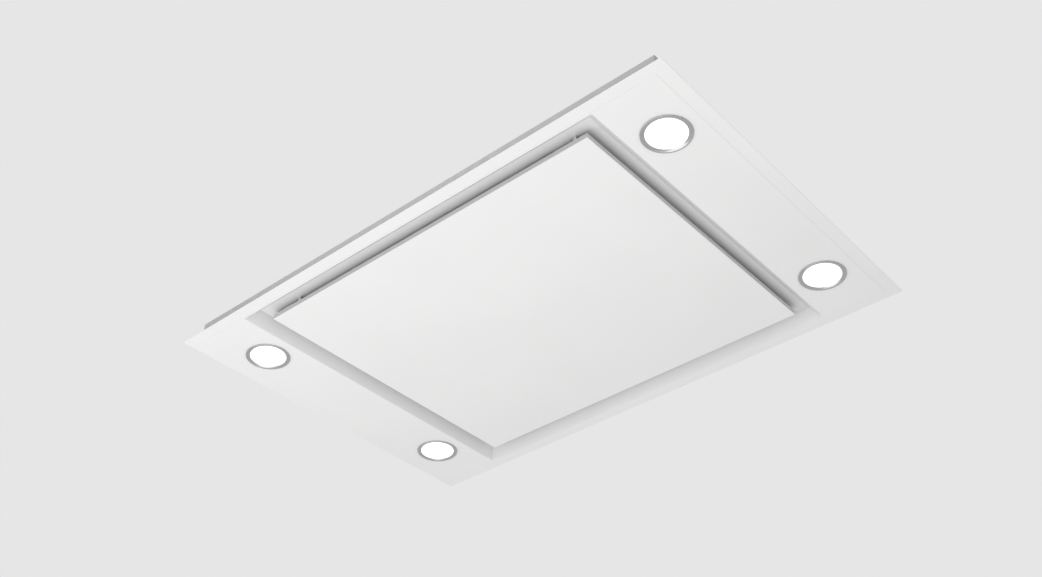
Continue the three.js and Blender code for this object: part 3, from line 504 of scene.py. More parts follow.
# ---------------- face plate
RECESS_HALF_X = 330.5
RECESS_HALF_Y = 280
RECESS_RUN = 16
SHEET = 1.2
MOUTH_BEND = 0.7
FOOT_BEND = 2
PLATE_CORNER = 0.8
PLATE_EDGE = 0.35
RECESS_CORNER = 1.5
RIM_STEP = 0.3
FOOT_GAP = 0.3
RIM_SLANT = 0.15
FAR_ALONG = 60  # a point well along a flat stretch
LENS_PLAY = 1.6
FILTER_PLAY = 1.5
FILTER_HOLE_HALF_Y = 184.5
THROUGH_SHEET = 5


def bend(corner, before, after, radius, steps=5):
    """Points of a rounded corner of a profile, from the line before it to the line after."""
    corner, before, after = Vector(corner), Vector(before), Vector(after)
    back = (before - corner).normalized()
    on = (after - corner).normalized()
    half = back.angle(on) / 2
    reach = radius / math.tan(half)
    centre = corner + (back + on).normalized() * (radius / math.sin(half))
    first = corner + back * reach - centre
    last = corner + on * reach - centre
    return [centre + radius * first.slerp(last, i / steps).normalized() for i in range(steps + 1)]


def face_plate():
    low, high = box_mm("face_plate")
    face, ledge = low.z, high.z
    under, over = ledge - SHEET, face + SHEET
    slope = RECESS_RUN / (under - face)
    skew = SHEET * (math.hypot(1, slope) - slope)
    foot_x, foot_y = (side + FOOT_GAP for side in box_mm("body_tray")[1].xy)
    lower = bend((-RECESS_RUN, under), (-FAR_ALONG, under), (0, face), FOOT_BEND)
    lower += bend((0, face), (-RECESS_RUN, under), (FAR_ALONG, face), MOUTH_BEND)
    mouth, foot = (skew, over), (skew - RECESS_RUN, ledge)
    upper = bend(mouth, (FAR_ALONG, over), foot, MOUTH_BEND + SHEET)
    upper += bend(foot, (0, over), (-FAR_ALONG, ledge), FOOT_BEND)
    edge = PLATE_EDGE
    rim = arc((-edge, -SHEET + edge), edge, -90, 0, 4) + arc((-edge, -edge), edge, 0, 90, 4)
    rings = frames(RECESS_HALF_X, RECESS_HALF_Y, lower, RECESS_CORNER)
    rings += frames(foot_x, foot_y, ((-RIM_SLANT, face), (RIM_SLANT, -SHEET)), PLATE_CORNER)
    rings += frames(high.x, high.y, rim, PLATE_CORNER)
    rings += frames(foot_x, foot_y, ((RIM_SLANT, 0), (-RIM_SLANT, -RIM_STEP)), PLATE_CORNER)
    rings += frames(RECESS_HALF_X, RECESS_HALF_Y, upper, RECESS_CORNER)
    cutters = plate_cutters(under)
    add_piece("face_plate_skin", loft(rings), "white_paint", "face_plate", cutters=cutters)


def plate_cutters(under):
    """Round holes for the lamps and openings with rounded corners for the filters."""
    cutters = []
    for number in range(1, 5):
        middle, half = middle_half(f"lamp_lens_{number}")
        cutters.append(drill(half.x + LENS_PLAY, -10, 10, 64, (*middle.xy, 0)))
    for side in ("left", "right"):
        middle, half = middle_half(f"filter_frame_{side}")
        rings = [rectangle(half.x + FILTER_PLAY, FILTER_HOLE_HALF_Y, z, 2)
                 for z in (under - THROUGH_SHEET, under + THROUGH_SHEET)]
        cutters.append(loft(moved(rings, middle.x, 0)))
    return cutters


# ---------------- drop-down panel
PANEL_BEND = 0.9
PANEL_CORNER = 1.2
PANEL_INNER_CORNER = 0.7
PANEL_SHEET = 1


def panel_skin():
    low, high = box_mm("panel_skin")
    sheet, lip = PANEL_SHEET, PANEL_SHEET / 2
    steps = arc((-PANEL_BEND, low.z + PANEL_BEND), PANEL_BEND, -90, 0, 6)
    steps += arc((-lip, high.z - lip), lip, 0, 180, 8)
    rings = frames(high.x, high.y, steps, PANEL_CORNER)
    rings += frames(high.x, high.y, [(-sheet, low.z + sheet)], PANEL_INNER_CORNER)
    add_piece("panel_shell", loft(rings), "white_paint", "panel_skin", body="panel")


# ---------------- lamps
LAMP_SEGMENTS = 96
RING_RADIUS = 34.1
RING_EDGE = 0.5
RING_DEPTH = 1.3
SLEEVE_WALL = 1.4
LENS_GAP = 0.2
APERTURE_RADIUS = 27.9
LIP_WIDTH = 4.4
LIP_ROUND = 1.3  # 1 is a plain cone, 2 a full curve
LIP_STEPS = 12
LENS_EDGE = 0.3
LENS_DOME = 0.15
DOME_RADII = (20, 10, 3)
FIN_COUNT = 6
FIN_DEPTH = 5
LAMP_BASE = 5.1
LAMP_WELL = ((12, 0), (11, -1.5))


def lamp(number):
    low, high = box_mm(f"lamp_bezel_{number}")
    lens_low, lens_high = box_mm(f"lamp_lens_{number}")
    centre, lens = ((low + high) / 2).xy, (lens_high.x - lens_low.x) / 2
    back, seat = low.z + RING_DEPTH, lens_low.z - LENS_GAP
    profile = arc((RING_RADIUS - RING_EDGE, low.z + RING_EDGE), RING_EDGE, -90, 0, 4)
    profile += [(RING_RADIUS, back), (lens + SLEEVE_WALL, back), (lens + SLEEVE_WALL, high.z)]
    profile += [(lens + LENS_GAP, high.z), (lens + LENS_GAP, seat)]
    for i in range(LIP_STEPS + 1):
        share = i / LIP_STEPS
        drop = (seat - low.z) * (1 - (1 - share) ** LIP_ROUND)
        profile.append((APERTURE_RADIUS + LIP_WIDTH * share, seat - drop))
    ring = turned(profile, LAMP_SEGMENTS, centre)
    add_piece(f"lamp_ring_{number}", ring, "chrome_ring", f"lamp_bezel_{number}")
    steps = [(lens, lens_high.z), (lens, lens_low.z + LENS_EDGE), (lens - LENS_EDGE, lens_low.z)]
    steps += [(radius, lens_low.z + LENS_DOME * (1 - radius / lens)) for radius in DOME_RADII]
    glass = turned(steps, LAMP_SEGMENTS, centre, capped=True)
    add_piece(f"lamp_glass_{number}", glass, "frosted_lens", f"lamp_lens_{number}")


def lamp_body(number):
    """The lamp's cast body with cooling fins and a shallow well in its top."""
    low, high = box_mm(f"lamp_module_{number}")
    middle, half = middle_half(f"lamp_module_{number}")
    radius = half.x
    core, start = radius - FIN_DEPTH, low.z + LAMP_BASE
    pitch = (high.z - start) / FIN_COUNT
    profile = [(radius - 0.3, low.z), (radius, low.z + 0.3)]
    for i in range(FIN_COUNT):
        foot = start + pitch * i
        top = foot + pitch / 2
        profile += [(radius, foot - 0.2), (radius - 0.2, foot), (core, foot), (core, top)]
        profile += [(radius - 0.2, top), (radius, top + 0.2)]
    profile += [(radius, high.z - 0.3), (radius - 0.3, high.z)] + near(0, high.z, LAMP_WELL)
    bm = turned(profile, LAMP_SEGMENTS, middle.xy, capped=True)
    add_piece(f"lamp_body_{number}", bm, "aluminium", f"lamp_module_{number}")


# ---------------- shapes shared by the metalwork
BEAD_ROOT = 0.5  # how deep a bead reaches into the sheet below it
BEAD_STEPS = 5
WASHER_RADIUS = 4.6
SCREW_APOTHEM = 3.1
RIVET_RADIUS = 2.4
RIVET_HEIGHT = 1.1
FASTENER_SPIN = 0.7
PAN_HEAD = ((3.4, -0.1), (3.4, 0.6), (3, 1.2), (2.2, 1.6), (1, 1.8))
CROSS = (1.8, 0.35)
CROSS_FLOOR, CROSS_TOP = 0.9, 3
SEAM_WIDTH = 0.5
SEAM_DEPTH = 0.45


def stadium(first, last, half_width, z, steps=8):
    """A ring of points round a slot shape, between the middles of its two round ends."""
    first, last = Vector(first), Vector(last)
    side = math.degrees(math.atan2(last.y - first.y, last.x - first.x)) + 90
    points = arc(last, half_width, side - 180, side, steps) + arc(first, half_width, side, side + 180, steps)
    return [Vector((*point, z)) for point in points]


def slot_cutter(first, last, half_width, low, high):
    return loft([stadium(first, last, half_width, z) for z in (low, high)])


def bead(first, last, half_width, height, z=0):
    """A pressed rib with a rounded top, standing up from height z."""
    rings = [stadium(first, last, half_width, z - BEAD_ROOT)]
    for i in range(BEAD_STEPS + 1):
        angle = math.pi / 2 * i / (BEAD_STEPS + 0.5)
        rings.append(stadium(first, last, half_width * math.cos(angle), z + height * math.sin(angle)))
    return loft(rings)


def hexagon(apothem, z, segments=24):
    points = []
    for i in range(segments):
        angle = 2 * math.pi * i / segments
        radius = apothem / math.cos(math.fmod(angle, math.pi / 3) - math.pi / 6)
        points.append(Vector((radius * math.cos(angle), radius * math.sin(angle), z)))
    return points


def hex_screw():
    """Head of a sheet-metal screw: a washer with a hexagon on it."""
    washer = ((WASHER_RADIUS, -0.1), (WASHER_RADIUS, 0.5), (WASHER_RADIUS - 0.4, 0.9))
    rings = [circle(radius, z, 24) for radius, z in washer]
    rings += [hexagon(SCREW_APOTHEM, 1.1), hexagon(SCREW_APOTHEM, 3.4)]
    rings += [circle(SCREW_APOTHEM * 0.96, 3.9, 24), circle(SCREW_APOTHEM * 0.55, 3.7, 24)]
    return loft(rings)


def rivet():
    dome = [(RIVET_RADIUS * math.cos(a), RIVET_HEIGHT * math.sin(a)) for a in (0, 0.35, 0.7, 1.05, 1.35)]
    return turned([(RIVET_RADIUS, -0.1), *dome], 20, capped=True)


def pan_screw():
    """A round screw head with a cross cut in it."""
    head = new_object("head", turned(PAN_HEAD, 32, capped=True))
    bars = [block((-x, -y, CROSS_FLOOR), (x, y, CROSS_TOP)) for x, y in (CROSS, CROSS[::-1])]
    combine(head, bars, "DIFFERENCE")
    result = bmesh.new()
    result.from_mesh(head.data)
    bmesh.ops.scale(result, vec=(1 / MM, 1 / MM, 1 / MM), verts=result.verts)
    bpy.data.objects.remove(head)
    return result


def fasteners(name, make, places, slot="steel_fitting", body="hood"):
    """One piece of alike fasteners, each at a place and pointing along an axis."""
    meshes = [placed(make(), place, axis, FASTENER_SPIN * i) for i, (place, axis) in enumerate(places)]
    add_piece(name, gathered(meshes), slot, body=body)


def on_sides(half_x, levels, half_y):
    """Places on both end walls, near each corner, at several heights."""
    return [((side * half_x, y, z), (side, 0, 0))
            for side in SIDES for y in (-half_y, half_y) for z in levels]


def corner_seams(half_x, half_y, low, high):
    """Cutters for the upright seams in both end walls."""
    return [block((x - SEAM_DEPTH, y - SEAM_WIDTH / 2, low), (x + SEAM_DEPTH, y + SEAM_WIDTH / 2, high))
            for x in (-half_x, half_x) for y in (-half_y, half_y)]


# ---------------- body tray
TRAY_SHEET = 1.2
TRAY_BEND = 2.4
TRAY_CORNER = 1.2
TRAY_RIB = (6, 1.6)
TRAY_RIBS = [((-370, y), (370, y)) for y in (-238, -200, 200, 238)]
TRAY_RIBS += [((x, -150), (x, 150)) for x in (300, 350, 400)]
TRAY_RIBS += [((x, y * 90), (x + 40, y * 150)) for x in (-330, -390) for y in SIDES]
TRAY_SEAM_INSET = 14
TRAY_RIVET_INSET = 7
TRAY_RIVET_LEVELS = (9, 25)
HOUSING_SEAT = 18  # how far the tray reaches in under the housing


def body_tray():
    low, high = box_mm("body_tray")
    hole_x, hole_y = (side - HOUSING_SEAT for side in box_mm("motor_housing")[1].xy)
    turn = (-TRAY_BEND, high.z - TRAY_BEND)
    inner = arc(turn, TRAY_BEND - TRAY_SHEET, 90, 0, 6) + [(-TRAY_SHEET, low.z)]
    rings = frames(high.x, high.y, [(0, low.z)] + arc(turn, TRAY_BEND, 0, 90, 6), TRAY_CORNER)
    rings += frames(hole_x, hole_y, ((0, high.z), (0, high.z - TRAY_SHEET)), TRAY_CORNER)
    rings += frames(high.x, high.y, inner, TRAY_CORNER / 2)
    beads = [bead(first, last, *TRAY_RIB, high.z) for first, last in TRAY_RIBS]
    seams = corner_seams(high.x, high.y - TRAY_SEAM_INSET, low.z + 2, high.z + 1)
    add_piece("tray_skin", loft(rings, capped=False), "galvanised_sheet", "body_tray", beads, seams)
    rivets = on_sides(high.x, TRAY_RIVET_LEVELS, high.y - TRAY_RIVET_INSET)
    fasteners("tray_rivets", rivet, rivets, "aluminium")


# ---------------- motor housing
HOUSING_SHEET = 1
HOUSING_BEND = 1.5
HOUSING_CORNER = 2
HOUSING_FLANGE = 12
HOUSING_RIB = (6, 1.6)
FRONT_RIBS = (200, (75, 119.5, 164))
BACK_RIBS = (45, (-165, 165), (75, 164))
END_RIB = (55, 90)
FRONT_SCREWS = (-220, -110, 0, 110, 220)
BACK_SCREWS = (-220, -110, 110, 220)
END_SCREWS = (-115, 0, 115)
LID_SCREWS = ((-200, -70, 70, 200), (-60, 60))
HOUSING_SEAM_INSET = 15
HOUSING_RIVET_INSET = 7.5
HOUSING_RIVET_LEVELS = (48, 82, 116, 150, 184)
FLANGE_SCREW_SHIFT = 0.6
OUTLET_HOLE = 69
LID_BORDER = 22
LID_FALL = 2
LID_PRESS = 0.25
LID_CREASE = ((45, 25), (195, 108), 5, 0.5)
LID_SKIRT = 8
LID_PLAY = 0.2
LID_EDGE = 0.6


def motor_housing():
    low, high = box_mm("motor_housing")
    wall_x, wall_y = high.x - HOUSING_FLANGE, high.y - HOUSING_FLANGE
    flange_top = low.z + HOUSING_SHEET
    turn = (HOUSING_BEND, flange_top + HOUSING_BEND)
    outer = arc(turn, HOUSING_BEND, 270, 180, 5) + [(0, high.z)]
    inner = [(-HOUSING_SHEET, high.z)] + arc(turn, HOUSING_BEND + HOUSING_SHEET, 180, 270, 5)
    rings = frames(high.x, high.y, ((0, low.z), (0, flange_top)), HOUSING_CORNER)
    rings += frames(wall_x, wall_y, outer, HOUSING_CORNER)
    rings += frames(wall_x, wall_y, inner, HOUSING_CORNER - HOUSING_SHEET)
    outlet = middle_half("outlet_collar")[0].z
    cutters = [drill(OUTLET_HOLE, -20, 20, 96, (0, wall_y, outlet), ALONG_Y)]
    cutters += corner_seams(wall_x, wall_y - HOUSING_SEAM_INSET, turn[1], high.z + 1)
    reach, levels = FRONT_RIBS
    lines = [((reach, 0), (0, -wall_y, z), (0, -1, 0)) for z in levels]
    reach, places, levels = BACK_RIBS
    lines += [((reach, 0), (x, wall_y, z), ALONG_Y) for x in places for z in levels]
    reach, level = END_RIB
    lines += [((0, reach), (side * wall_x, 0, level), (side, 0, 0)) for side in SIDES]
    beads = [placed(bead((-x, -y), (x, y), *HOUSING_RIB), place, axis) for (x, y), place, axis in lines]
    bm = loft(rings, capped=False)
    add_piece("housing_skin", bm, "galvanised_sheet", "motor_housing", beads, cutters)
    housing_fasteners(wall_x, wall_y, flange_top, high.z)


def housing_fasteners(wall_x, wall_y, flange_top, wall_top):
    reach = HOUSING_FLANGE / 2 + FLANGE_SCREW_SHIFT
    along, beside = wall_y + reach, wall_x + reach
    lid_z = wall_top - LID_SKIRT / 2
    screws = [((x, -along, flange_top), UP) for x in FRONT_SCREWS]
    screws += [((x, along, flange_top), UP) for x in BACK_SCREWS]
    screws += [((side * beside, y, flange_top), UP) for side in SIDES for y in END_SCREWS]
    along, beside = LID_SCREWS
    screws += [((x, side * wall_y, lid_z), (0, side, 0)) for side in SIDES for x in along]
    screws += [((side * wall_x, y, lid_z), (side, 0, 0)) for side in SIDES for y in beside]
    fasteners("housing_screws", hex_screw, screws)
    rivets = on_sides(wall_x, HOUSING_RIVET_LEVELS, wall_y - HOUSING_RIVET_INSET)
    fasteners("housing_rivets", rivet, rivets, "aluminium")


def housing_lid():
    low, high = box_mm("housing_lid")
    under, pressed = high.z - HOUSING_SHEET, high.z - LID_PRESS
    skirt = HOUSING_SHEET + LID_PLAY
    steps = [(-skirt - HOUSING_SHEET, under), (-skirt - HOUSING_SHEET, low.z), (-skirt, low.z)]
    steps += [(-skirt, under), (-LID_PLAY, under), (0, under + LID_PLAY)]
    steps += arc((-LID_EDGE, high.z - LID_EDGE), LID_EDGE, 0, 90, 4)
    steps += [(-LID_BORDER, high.z), (-LID_BORDER - LID_FALL, pressed)]
    first, last, half_width, depth = LID_CREASE
    creases = []
    for x, y in ((1, 1), (-1, 1), (-1, -1), (1, -1)):
        ends = ((x * first[0], y * first[1]), (x * last[0], y * last[1]))
        creases.append(placed(bead(*ends, half_width, depth), (0, 0, pressed), DOWN))
    bm = loft(frames(high.x, high.y, steps, HOUSING_CORNER))
    add_piece("lid_skin", bm, "galvanised_sheet", "housing_lid", (), creases)


# ---------------- outlet collar and flaps
COLLAR_SEGMENTS = 128
COLLAR_FLANGE = 3
COLLAR_STEP = 4  # how far the flange stands out from the wall
COLLAR_SHEET = 2
COLLAR_FILLET = 1.5
COLLAR_RIM = 5
COLLAR_BEAD = (46, 1.3, 4)
COLLAR_END = ((2, -5), (1.2, 0), (0.3, 0), (0, -1))
COLLAR_STOP = ((0, 9), (-4.4, 9), (-5, 8.4))
FLANGE_RIM = ((-0.5, 0), (0, 0.5), (0, 2.5), (-0.5, 3))
PIN_BOSS = ((6, 0), (6, 1.9), (5.4, 2.5))
PIN_BORE = 2.15
FLAP_GAP = 1.5
FLAP_EDGE = 4
FLAP_HALF = 0.6
FLAP_STEPS = 48
FLAP_RIB = (1.2, 1)
KNUCKLE_RADIUS = 3.6
KNUCKLE_PLAY = 0.2
KNUCKLE_REACH = 4.6
KNUCKLE_EDGE = 0.3


def collar_frame():
    """Middle of the outlet's foot, its flange's radius and its length."""
    middle, half = middle_half("outlet_collar")
    return middle - Vector((0, half.y, 0)), half.x, 2 * half.y


def outlet_collar():
    foot, flange, length = collar_frame()
    outer = flange - COLLAR_STEP
    bore = outer - COLLAR_SHEET
    bead_middle, bead_height, bead_half = COLLAR_BEAD
    turn = (outer + COLLAR_FILLET, COLLAR_FLANGE + COLLAR_FILLET)
    profile = [(bore - COLLAR_RIM, 0)] + near(flange, 0, FLANGE_RIM)
    profile += arc(turn, COLLAR_FILLET, 270, 180, 4)
    for i in range(-6, 7):
        rise = bead_height * math.cos(math.pi / 2 * i / 6) ** 2
        profile.append((outer + rise, bead_middle + bead_half * i / 6))
    profile += near(bore, length, COLLAR_END) + near(bore, 0, COLLAR_STOP)
    bm = placed(turned(profile, COLLAR_SEGMENTS), foot, ALONG_Y)
    pin_y = middle_half("flap_pin")[0].y
    bosses = []
    for side in SIDES:
        place = (foot.x, pin_y, foot.z + side * (bore + 0.6))
        bosses.append(placed(turned(PIN_BOSS, 32, capped=True), place, (0, 0, side)))
    hole = drill(PIN_BORE, -outer - 4, outer + 4, 32, (foot.x, pin_y, foot.z))
    add_piece("collar_moulding", bm, "black_plastic", "outlet_collar", bosses, [hole])


def flap(side, name):
    """Half a disc with moulded ribs, and every second knuckle round the pin."""
    foot, flange = collar_frame()[:2]
    radius = flange - COLLAR_STEP - COLLAR_SHEET - FLAP_GAP
    start = math.degrees(math.acos(FLAP_EDGE / radius))
    half = FLAP_HALF
    outline = [(side * x, y) for x, y in arc((0, 0), radius, start, -start, FLAP_STEPS)]
    rings = []
    for inset, height in ((0.35, -half), (0, -half + 0.25), (0, half - 0.25), (0.35, half)):
        shrink = 1 - inset / radius
        rings.append([Vector((side * inset + x * shrink, y * shrink, height)) for x, y in outline])
    bm = loft(rings)
    ribs = []
    for y in (-radius / 2, 0, radius / 2):
        reach = math.sqrt(radius ** 2 - y ** 2) - 5
        ribs.append(bead((side * 8, y), (side * reach, y), *FLAP_RIB, half))
    span = radius - FLAP_GAP
    pitch = span / 2
    for i in range(1 if side > 0 else 0, 4, 2):
        first = -span + i * pitch + KNUCKLE_PLAY
        last = first + pitch - 2 * KNUCKLE_PLAY
        edge = KNUCKLE_EDGE
        barrel = [(KNUCKLE_RADIUS - edge, first), (KNUCKLE_RADIUS, first + edge)]
        barrel += [(KNUCKLE_RADIUS, last - edge), (KNUCKLE_RADIUS - edge, last)]
        ribs.append(placed(turned(barrel, 32, capped=True), (0, 0, 0), ALONG_Y))
        left, right = sorted((0, side * KNUCKLE_REACH))
        ribs.append(block((left, first + 0.1, -half + 0.05), (right, last - 0.1, half - 0.05)))
    bore = drill(PIN_BORE, -span - 5, span + 5, 24, (0, 0, 0), ALONG_Y)
    upright = Matrix(((1, 0, 0), (0, 0, 1), (0, 1, 0))).to_4x4()
    place = Matrix.Translation((foot.x, middle_half("flap_pin")[0].y, foot.z))
    for mesh in (bm, bore, *ribs):
        mesh.transform(place @ upright)
        bmesh.ops.recalc_face_normals(mesh, faces=mesh.faces)
    add_piece(f"flap_vane_{name}", bm, "grey_plastic", f"flap_{name}", ribs, [bore], body=f"{name}_flap")


# ---------------- hanging brackets
BRACKET_SHEET = 2.5
BRACKET_BEND = 1.5
ROD_SLOT = (4.5, 3)
BRACKET_HOLE = 2.6


def hanging_bracket(number):
    low, high = box_mm(f"hanging_bracket_{number}")
    middle, half = middle_half(f"hanging_bracket_{number}")
    side = 1 if low.x > 0 else -1
    wall = low.x if side > 0 else high.x
    reach, leg = high.x - low.x, high.z - low.z
    inner = BRACKET_SHEET + BRACKET_BEND
    line = [(0, -leg), (0, -inner), *arc((inner, -inner), inner, 180, 90, 6)]
    line += [(reach, 0), (reach, -BRACKET_SHEET), *arc((inner, -inner), BRACKET_BEND, 90, 180, 6)]
    line += [(BRACKET_SHEET, -leg)]
    bm = loft([[Vector((x, y, z)) for x, z in line] for y in (-half.y, half.y)])
    shelf = (reach + BRACKET_SHEET) / 2
    radius, run = ROD_SLOT
    cutters = [slot_cutter((shelf, -run), (shelf, run), radius, -leg / 2, 5)]
    screws = []
    hole_z = -(leg + BRACKET_SHEET) / 2
    for y in (-half.y / 2, half.y / 2):
        cutters.append(drill(BRACKET_HOLE, -5, 5, 24, (0, y, hole_z), ALONG_X))
        screws.append(((wall + side * BRACKET_SHEET, middle.y + y, high.z + hole_z), (side, 0, 0)))
    turn = Matrix.Translation((wall, middle.y, high.z)) @ Matrix.Rotation(0 if side > 0 else math.pi, 4, "Z")
    for mesh in (bm, *cutters):
        mesh.transform(turn)
    name = f"bracket_angle_{number}"
    add_piece(name, bm, "galvanised_sheet", f"hanging_bracket_{number}", (), cutters, 0.3)
    fasteners(f"bracket_screws_{number}", hex_screw, screws)


# ---------------- control box
BOX_CORNER = 5
BOX_WALL = 2
BOX_RIB = (1.5, 0.9)
BOX_RIB_REACH = 12
BOX_RIBS = (-45, -15, 15, 45)
BOX_POST = (4, 6)
BOX_POSTS = (58, 43)
VENT_REACH = 18
VENT_HALF = 1.4
GLAND_MOUTH = ((6.4, 0), (7.6, 0.7))
GLAND_GRIP = ((8.6, 2.2), (9, 3.2), (9, 9))
GLAND_NECK = ((8.3, 9.4), (8.3, 10))
GLAND_END = 15
GLAND_TIP = 9
LID_DISH = 0.7
LID_PAN_WELL = (4.4, 1.1)
LID_SCREW_INSET = 7.5
VENT_COUNT = 7
VENT_PITCH = 10
GLAND_HOLE = 9.2
GLAND_BORE = 4.2
GLAND_APOTHEM = 10.39
GLAND_SEGMENTS = 72
GRIP_DEPTH = 0.5


def box_shell(node, steps):
    """A box about a CAD node's middle, its corners tighter further in."""
    middle, half = middle_half(node)
    rings = [rectangle(half.x + offset, half.y + offset, z, max(BOX_CORNER + offset / 2, 1))
             for offset, z in steps]
    return loft(moved(rings, middle.x, middle.y))


def control_box():
    low, high = box_mm("control_box")
    middle, half = middle_half("control_box")
    steps = [(-2, low.z), (-0.6, low.z + 0.6), (0, low.z + 2), (0, high.z)]
    steps += [(-BOX_WALL, high.z), (-BOX_WALL, low.z + BOX_WALL)]
    added = []
    for side in SIDES:
        for x in BOX_RIBS:
            place = (middle.x + x, middle.y + side * half.y, middle.z)
            rib = bead((0, -BOX_RIB_REACH), (0, BOX_RIB_REACH), *BOX_RIB)
            added.append(placed(rib, place, (0, side, 0)))
    radius, height = BOX_POST
    floor = low.z + BOX_WALL
    for x in SIDES:
        for y in SIDES:
            place = (middle.x + x * BOX_POSTS[0], middle.y + y * BOX_POSTS[1], 0)
            added.append(drill(radius, floor - BOX_WALL / 2, floor + height, 24, place))
    hole = drill(GLAND_HOLE, -4, 4, 48, (low.x, middle.y, middle.z), ALONG_X)
    shell = box_shell("control_box", steps)
    add_piece("box_moulding", shell, "grey_plastic", "control_box", added, [hole], 0.25)


def control_box_lid():
    low, high = box_mm("control_box_lid")
    middle, half = middle_half("control_box_lid")
    under, lip, dished = high.z - BOX_WALL, BOX_WALL + LID_PLAY, high.z - LID_DISH
    steps = [(-lip - BOX_WALL, under), (-lip - BOX_WALL, low.z), (-lip, low.z), (-lip, under)]
    steps += [(0, under), (0, high.z - 0.8), (-0.8, high.z), (-14, high.z), (-15, dished)]
    cutters = []
    screws = []
    radius, depth = LID_PAN_WELL
    for side_x in SIDES:
        for side_y in SIDES:
            x = middle.x + side_x * (half.x - LID_SCREW_INSET)
            y = middle.y + side_y * (half.y - LID_SCREW_INSET)
            cutters.append(drill(radius, -depth, 2, 32, (x, y, high.z)))
            screws.append(((x, y, high.z - depth), UP))
    for i in range(VENT_COUNT):
        x = middle.x + VENT_PITCH * (i - (VENT_COUNT - 1) / 2)
        ends = ((x, middle.y - VENT_REACH), (x, middle.y + VENT_REACH))
        cutters.append(slot_cutter(*ends, VENT_HALF, dished - 0.6, high.z + 1))
    shell = box_shell("control_box_lid", steps)
    add_piece("box_lid", shell, "grey_plastic", "control_box_lid", (), cutters, 0.2)
    fasteners("box_screws", pan_screw, screws)


def grip_ring(radius, z):
    """A round outline with shallow grips."""
    points = []
    for i, point in enumerate(circle(1, 0, GLAND_SEGMENTS)):
        grip = radius - (GRIP_DEPTH if i % 4 in (2, 3) else 0)
        points.append(Vector((grip * point.x, grip * point.y, z)))
    return points


def cable_gland():
    low, high = box_mm("cable_gland")
    middle = middle_half("cable_gland")[0]
    length, count = high.x - low.x, GLAND_SEGMENTS
    rings = [circle(radius, z, count) for radius, z in ((GLAND_BORE, length), (GLAND_BORE, 0), *GLAND_MOUTH)]
    rings += [grip_ring(radius, z) for radius, z in GLAND_GRIP]
    rings += [circle(radius, z, count) for radius, z in GLAND_NECK]
    rings += [hexagon(GLAND_APOTHEM, z, count) for z in (GLAND_NECK[-1][1], GLAND_END)]
    rings += [circle(GLAND_TIP, z, count) for z in (GLAND_END, length)]
    bm = placed(loft(rings, capped=False), (low.x, middle.y, middle.z), ALONG_X)
    add_piece("gland_moulding", bm, "black_plastic", "cable_gland")


# ---------------- grease filters
FILTER_SHEET = 1.2
FRAME_RAIL = 14
LATCH_RAIL = 34
FRAME_EDGE = 0.8
FRAME_CORNER = 2
WINDOW_CORNER = 1
GROOVE = 5
MITRE = (0.4, 0.3)
TONGUE_X = 61.5
TONGUE = (10, 1.5, 3)
LATCH_BAY = (20.5, 25.5, 4.5)
LATCH_SLOT = (15.5, 6.5, 22.5)
PLEAT_PITCH = 9
PLEAT_SHEET = 0.8
PLEAT_STEPS = 8
PLEAT_RISE = 1.2
DIAMOND = (8, 5)
WIRE = 0.55
GRIP_PITCH = 2.05
GRIP_HALF = 0.35


def filter_frame(side):
    name = f"filter_frame_{side}"
    low, high = box_mm(name)
    half_x, front, half_y = (high.x - low.x) / 2, low.y, -low.y
    win_x = half_x - FRAME_RAIL
    win_near, win_far = front + LATCH_RAIL, half_y - FRAME_RAIL
    edge, floor = FRAME_EDGE, low.z + FILTER_SHEET
    outside = arc((-edge, low.z + edge), edge, -90, 0, 2) + arc((-edge, high.z - edge), edge, 0, 90, 2)
    inside = ((edge, high.z), (0, high.z - edge), (0, low.z + edge), (edge, low.z))
    window = frames(win_x, (win_far - win_near) / 2, inside, WINDOW_CORNER)
    rings = frames(half_x, half_y, outside, FRAME_CORNER) + moved(window, 0, (win_far + win_near) / 2)
    cuts = [block((-win_x - GROOVE, win_near - GROOVE, floor),
                  (win_x + GROOVE, win_far + GROOVE, high.z - FILTER_SHEET))]
    x, y, z = LATCH_BAY
    cuts.append(block((-x, front - 1, floor), (x, front + y, low.z + z)))
    x, first, last = LATCH_SLOT
    cuts.append(block((-x, front + first, low.z - 1), (x, front + last, floor + 1)))
    width, depth = MITRE
    for y, win in ((front, win_near), (half_y, win_far)):
        for x in SIDES:
            line = stadium((x * half_x, y), (x * win_x, win), width / 2, low.z - 1, 3)
            cuts.append(loft([line, [point + Vector((0, 0, 1 + depth)) for point in line]]))
    reach, under, top = TONGUE
    tongues = [block((x - reach, half_y - FILTER_SHEET, low.z + under), (x + reach, high.y, low.z + top))
               for x in (-TONGUE_X, TONGUE_X)]
    bm = loft(rings, capped=False)
    for mesh in (bm, *cuts, *tongues):
        mesh.transform(Matrix.Translation(((low.x + high.x) / 2, 0, 0)))
    add_piece(f"filter_cassette_{side}", bm, "aluminium", name, tongues, cuts, 0.15)


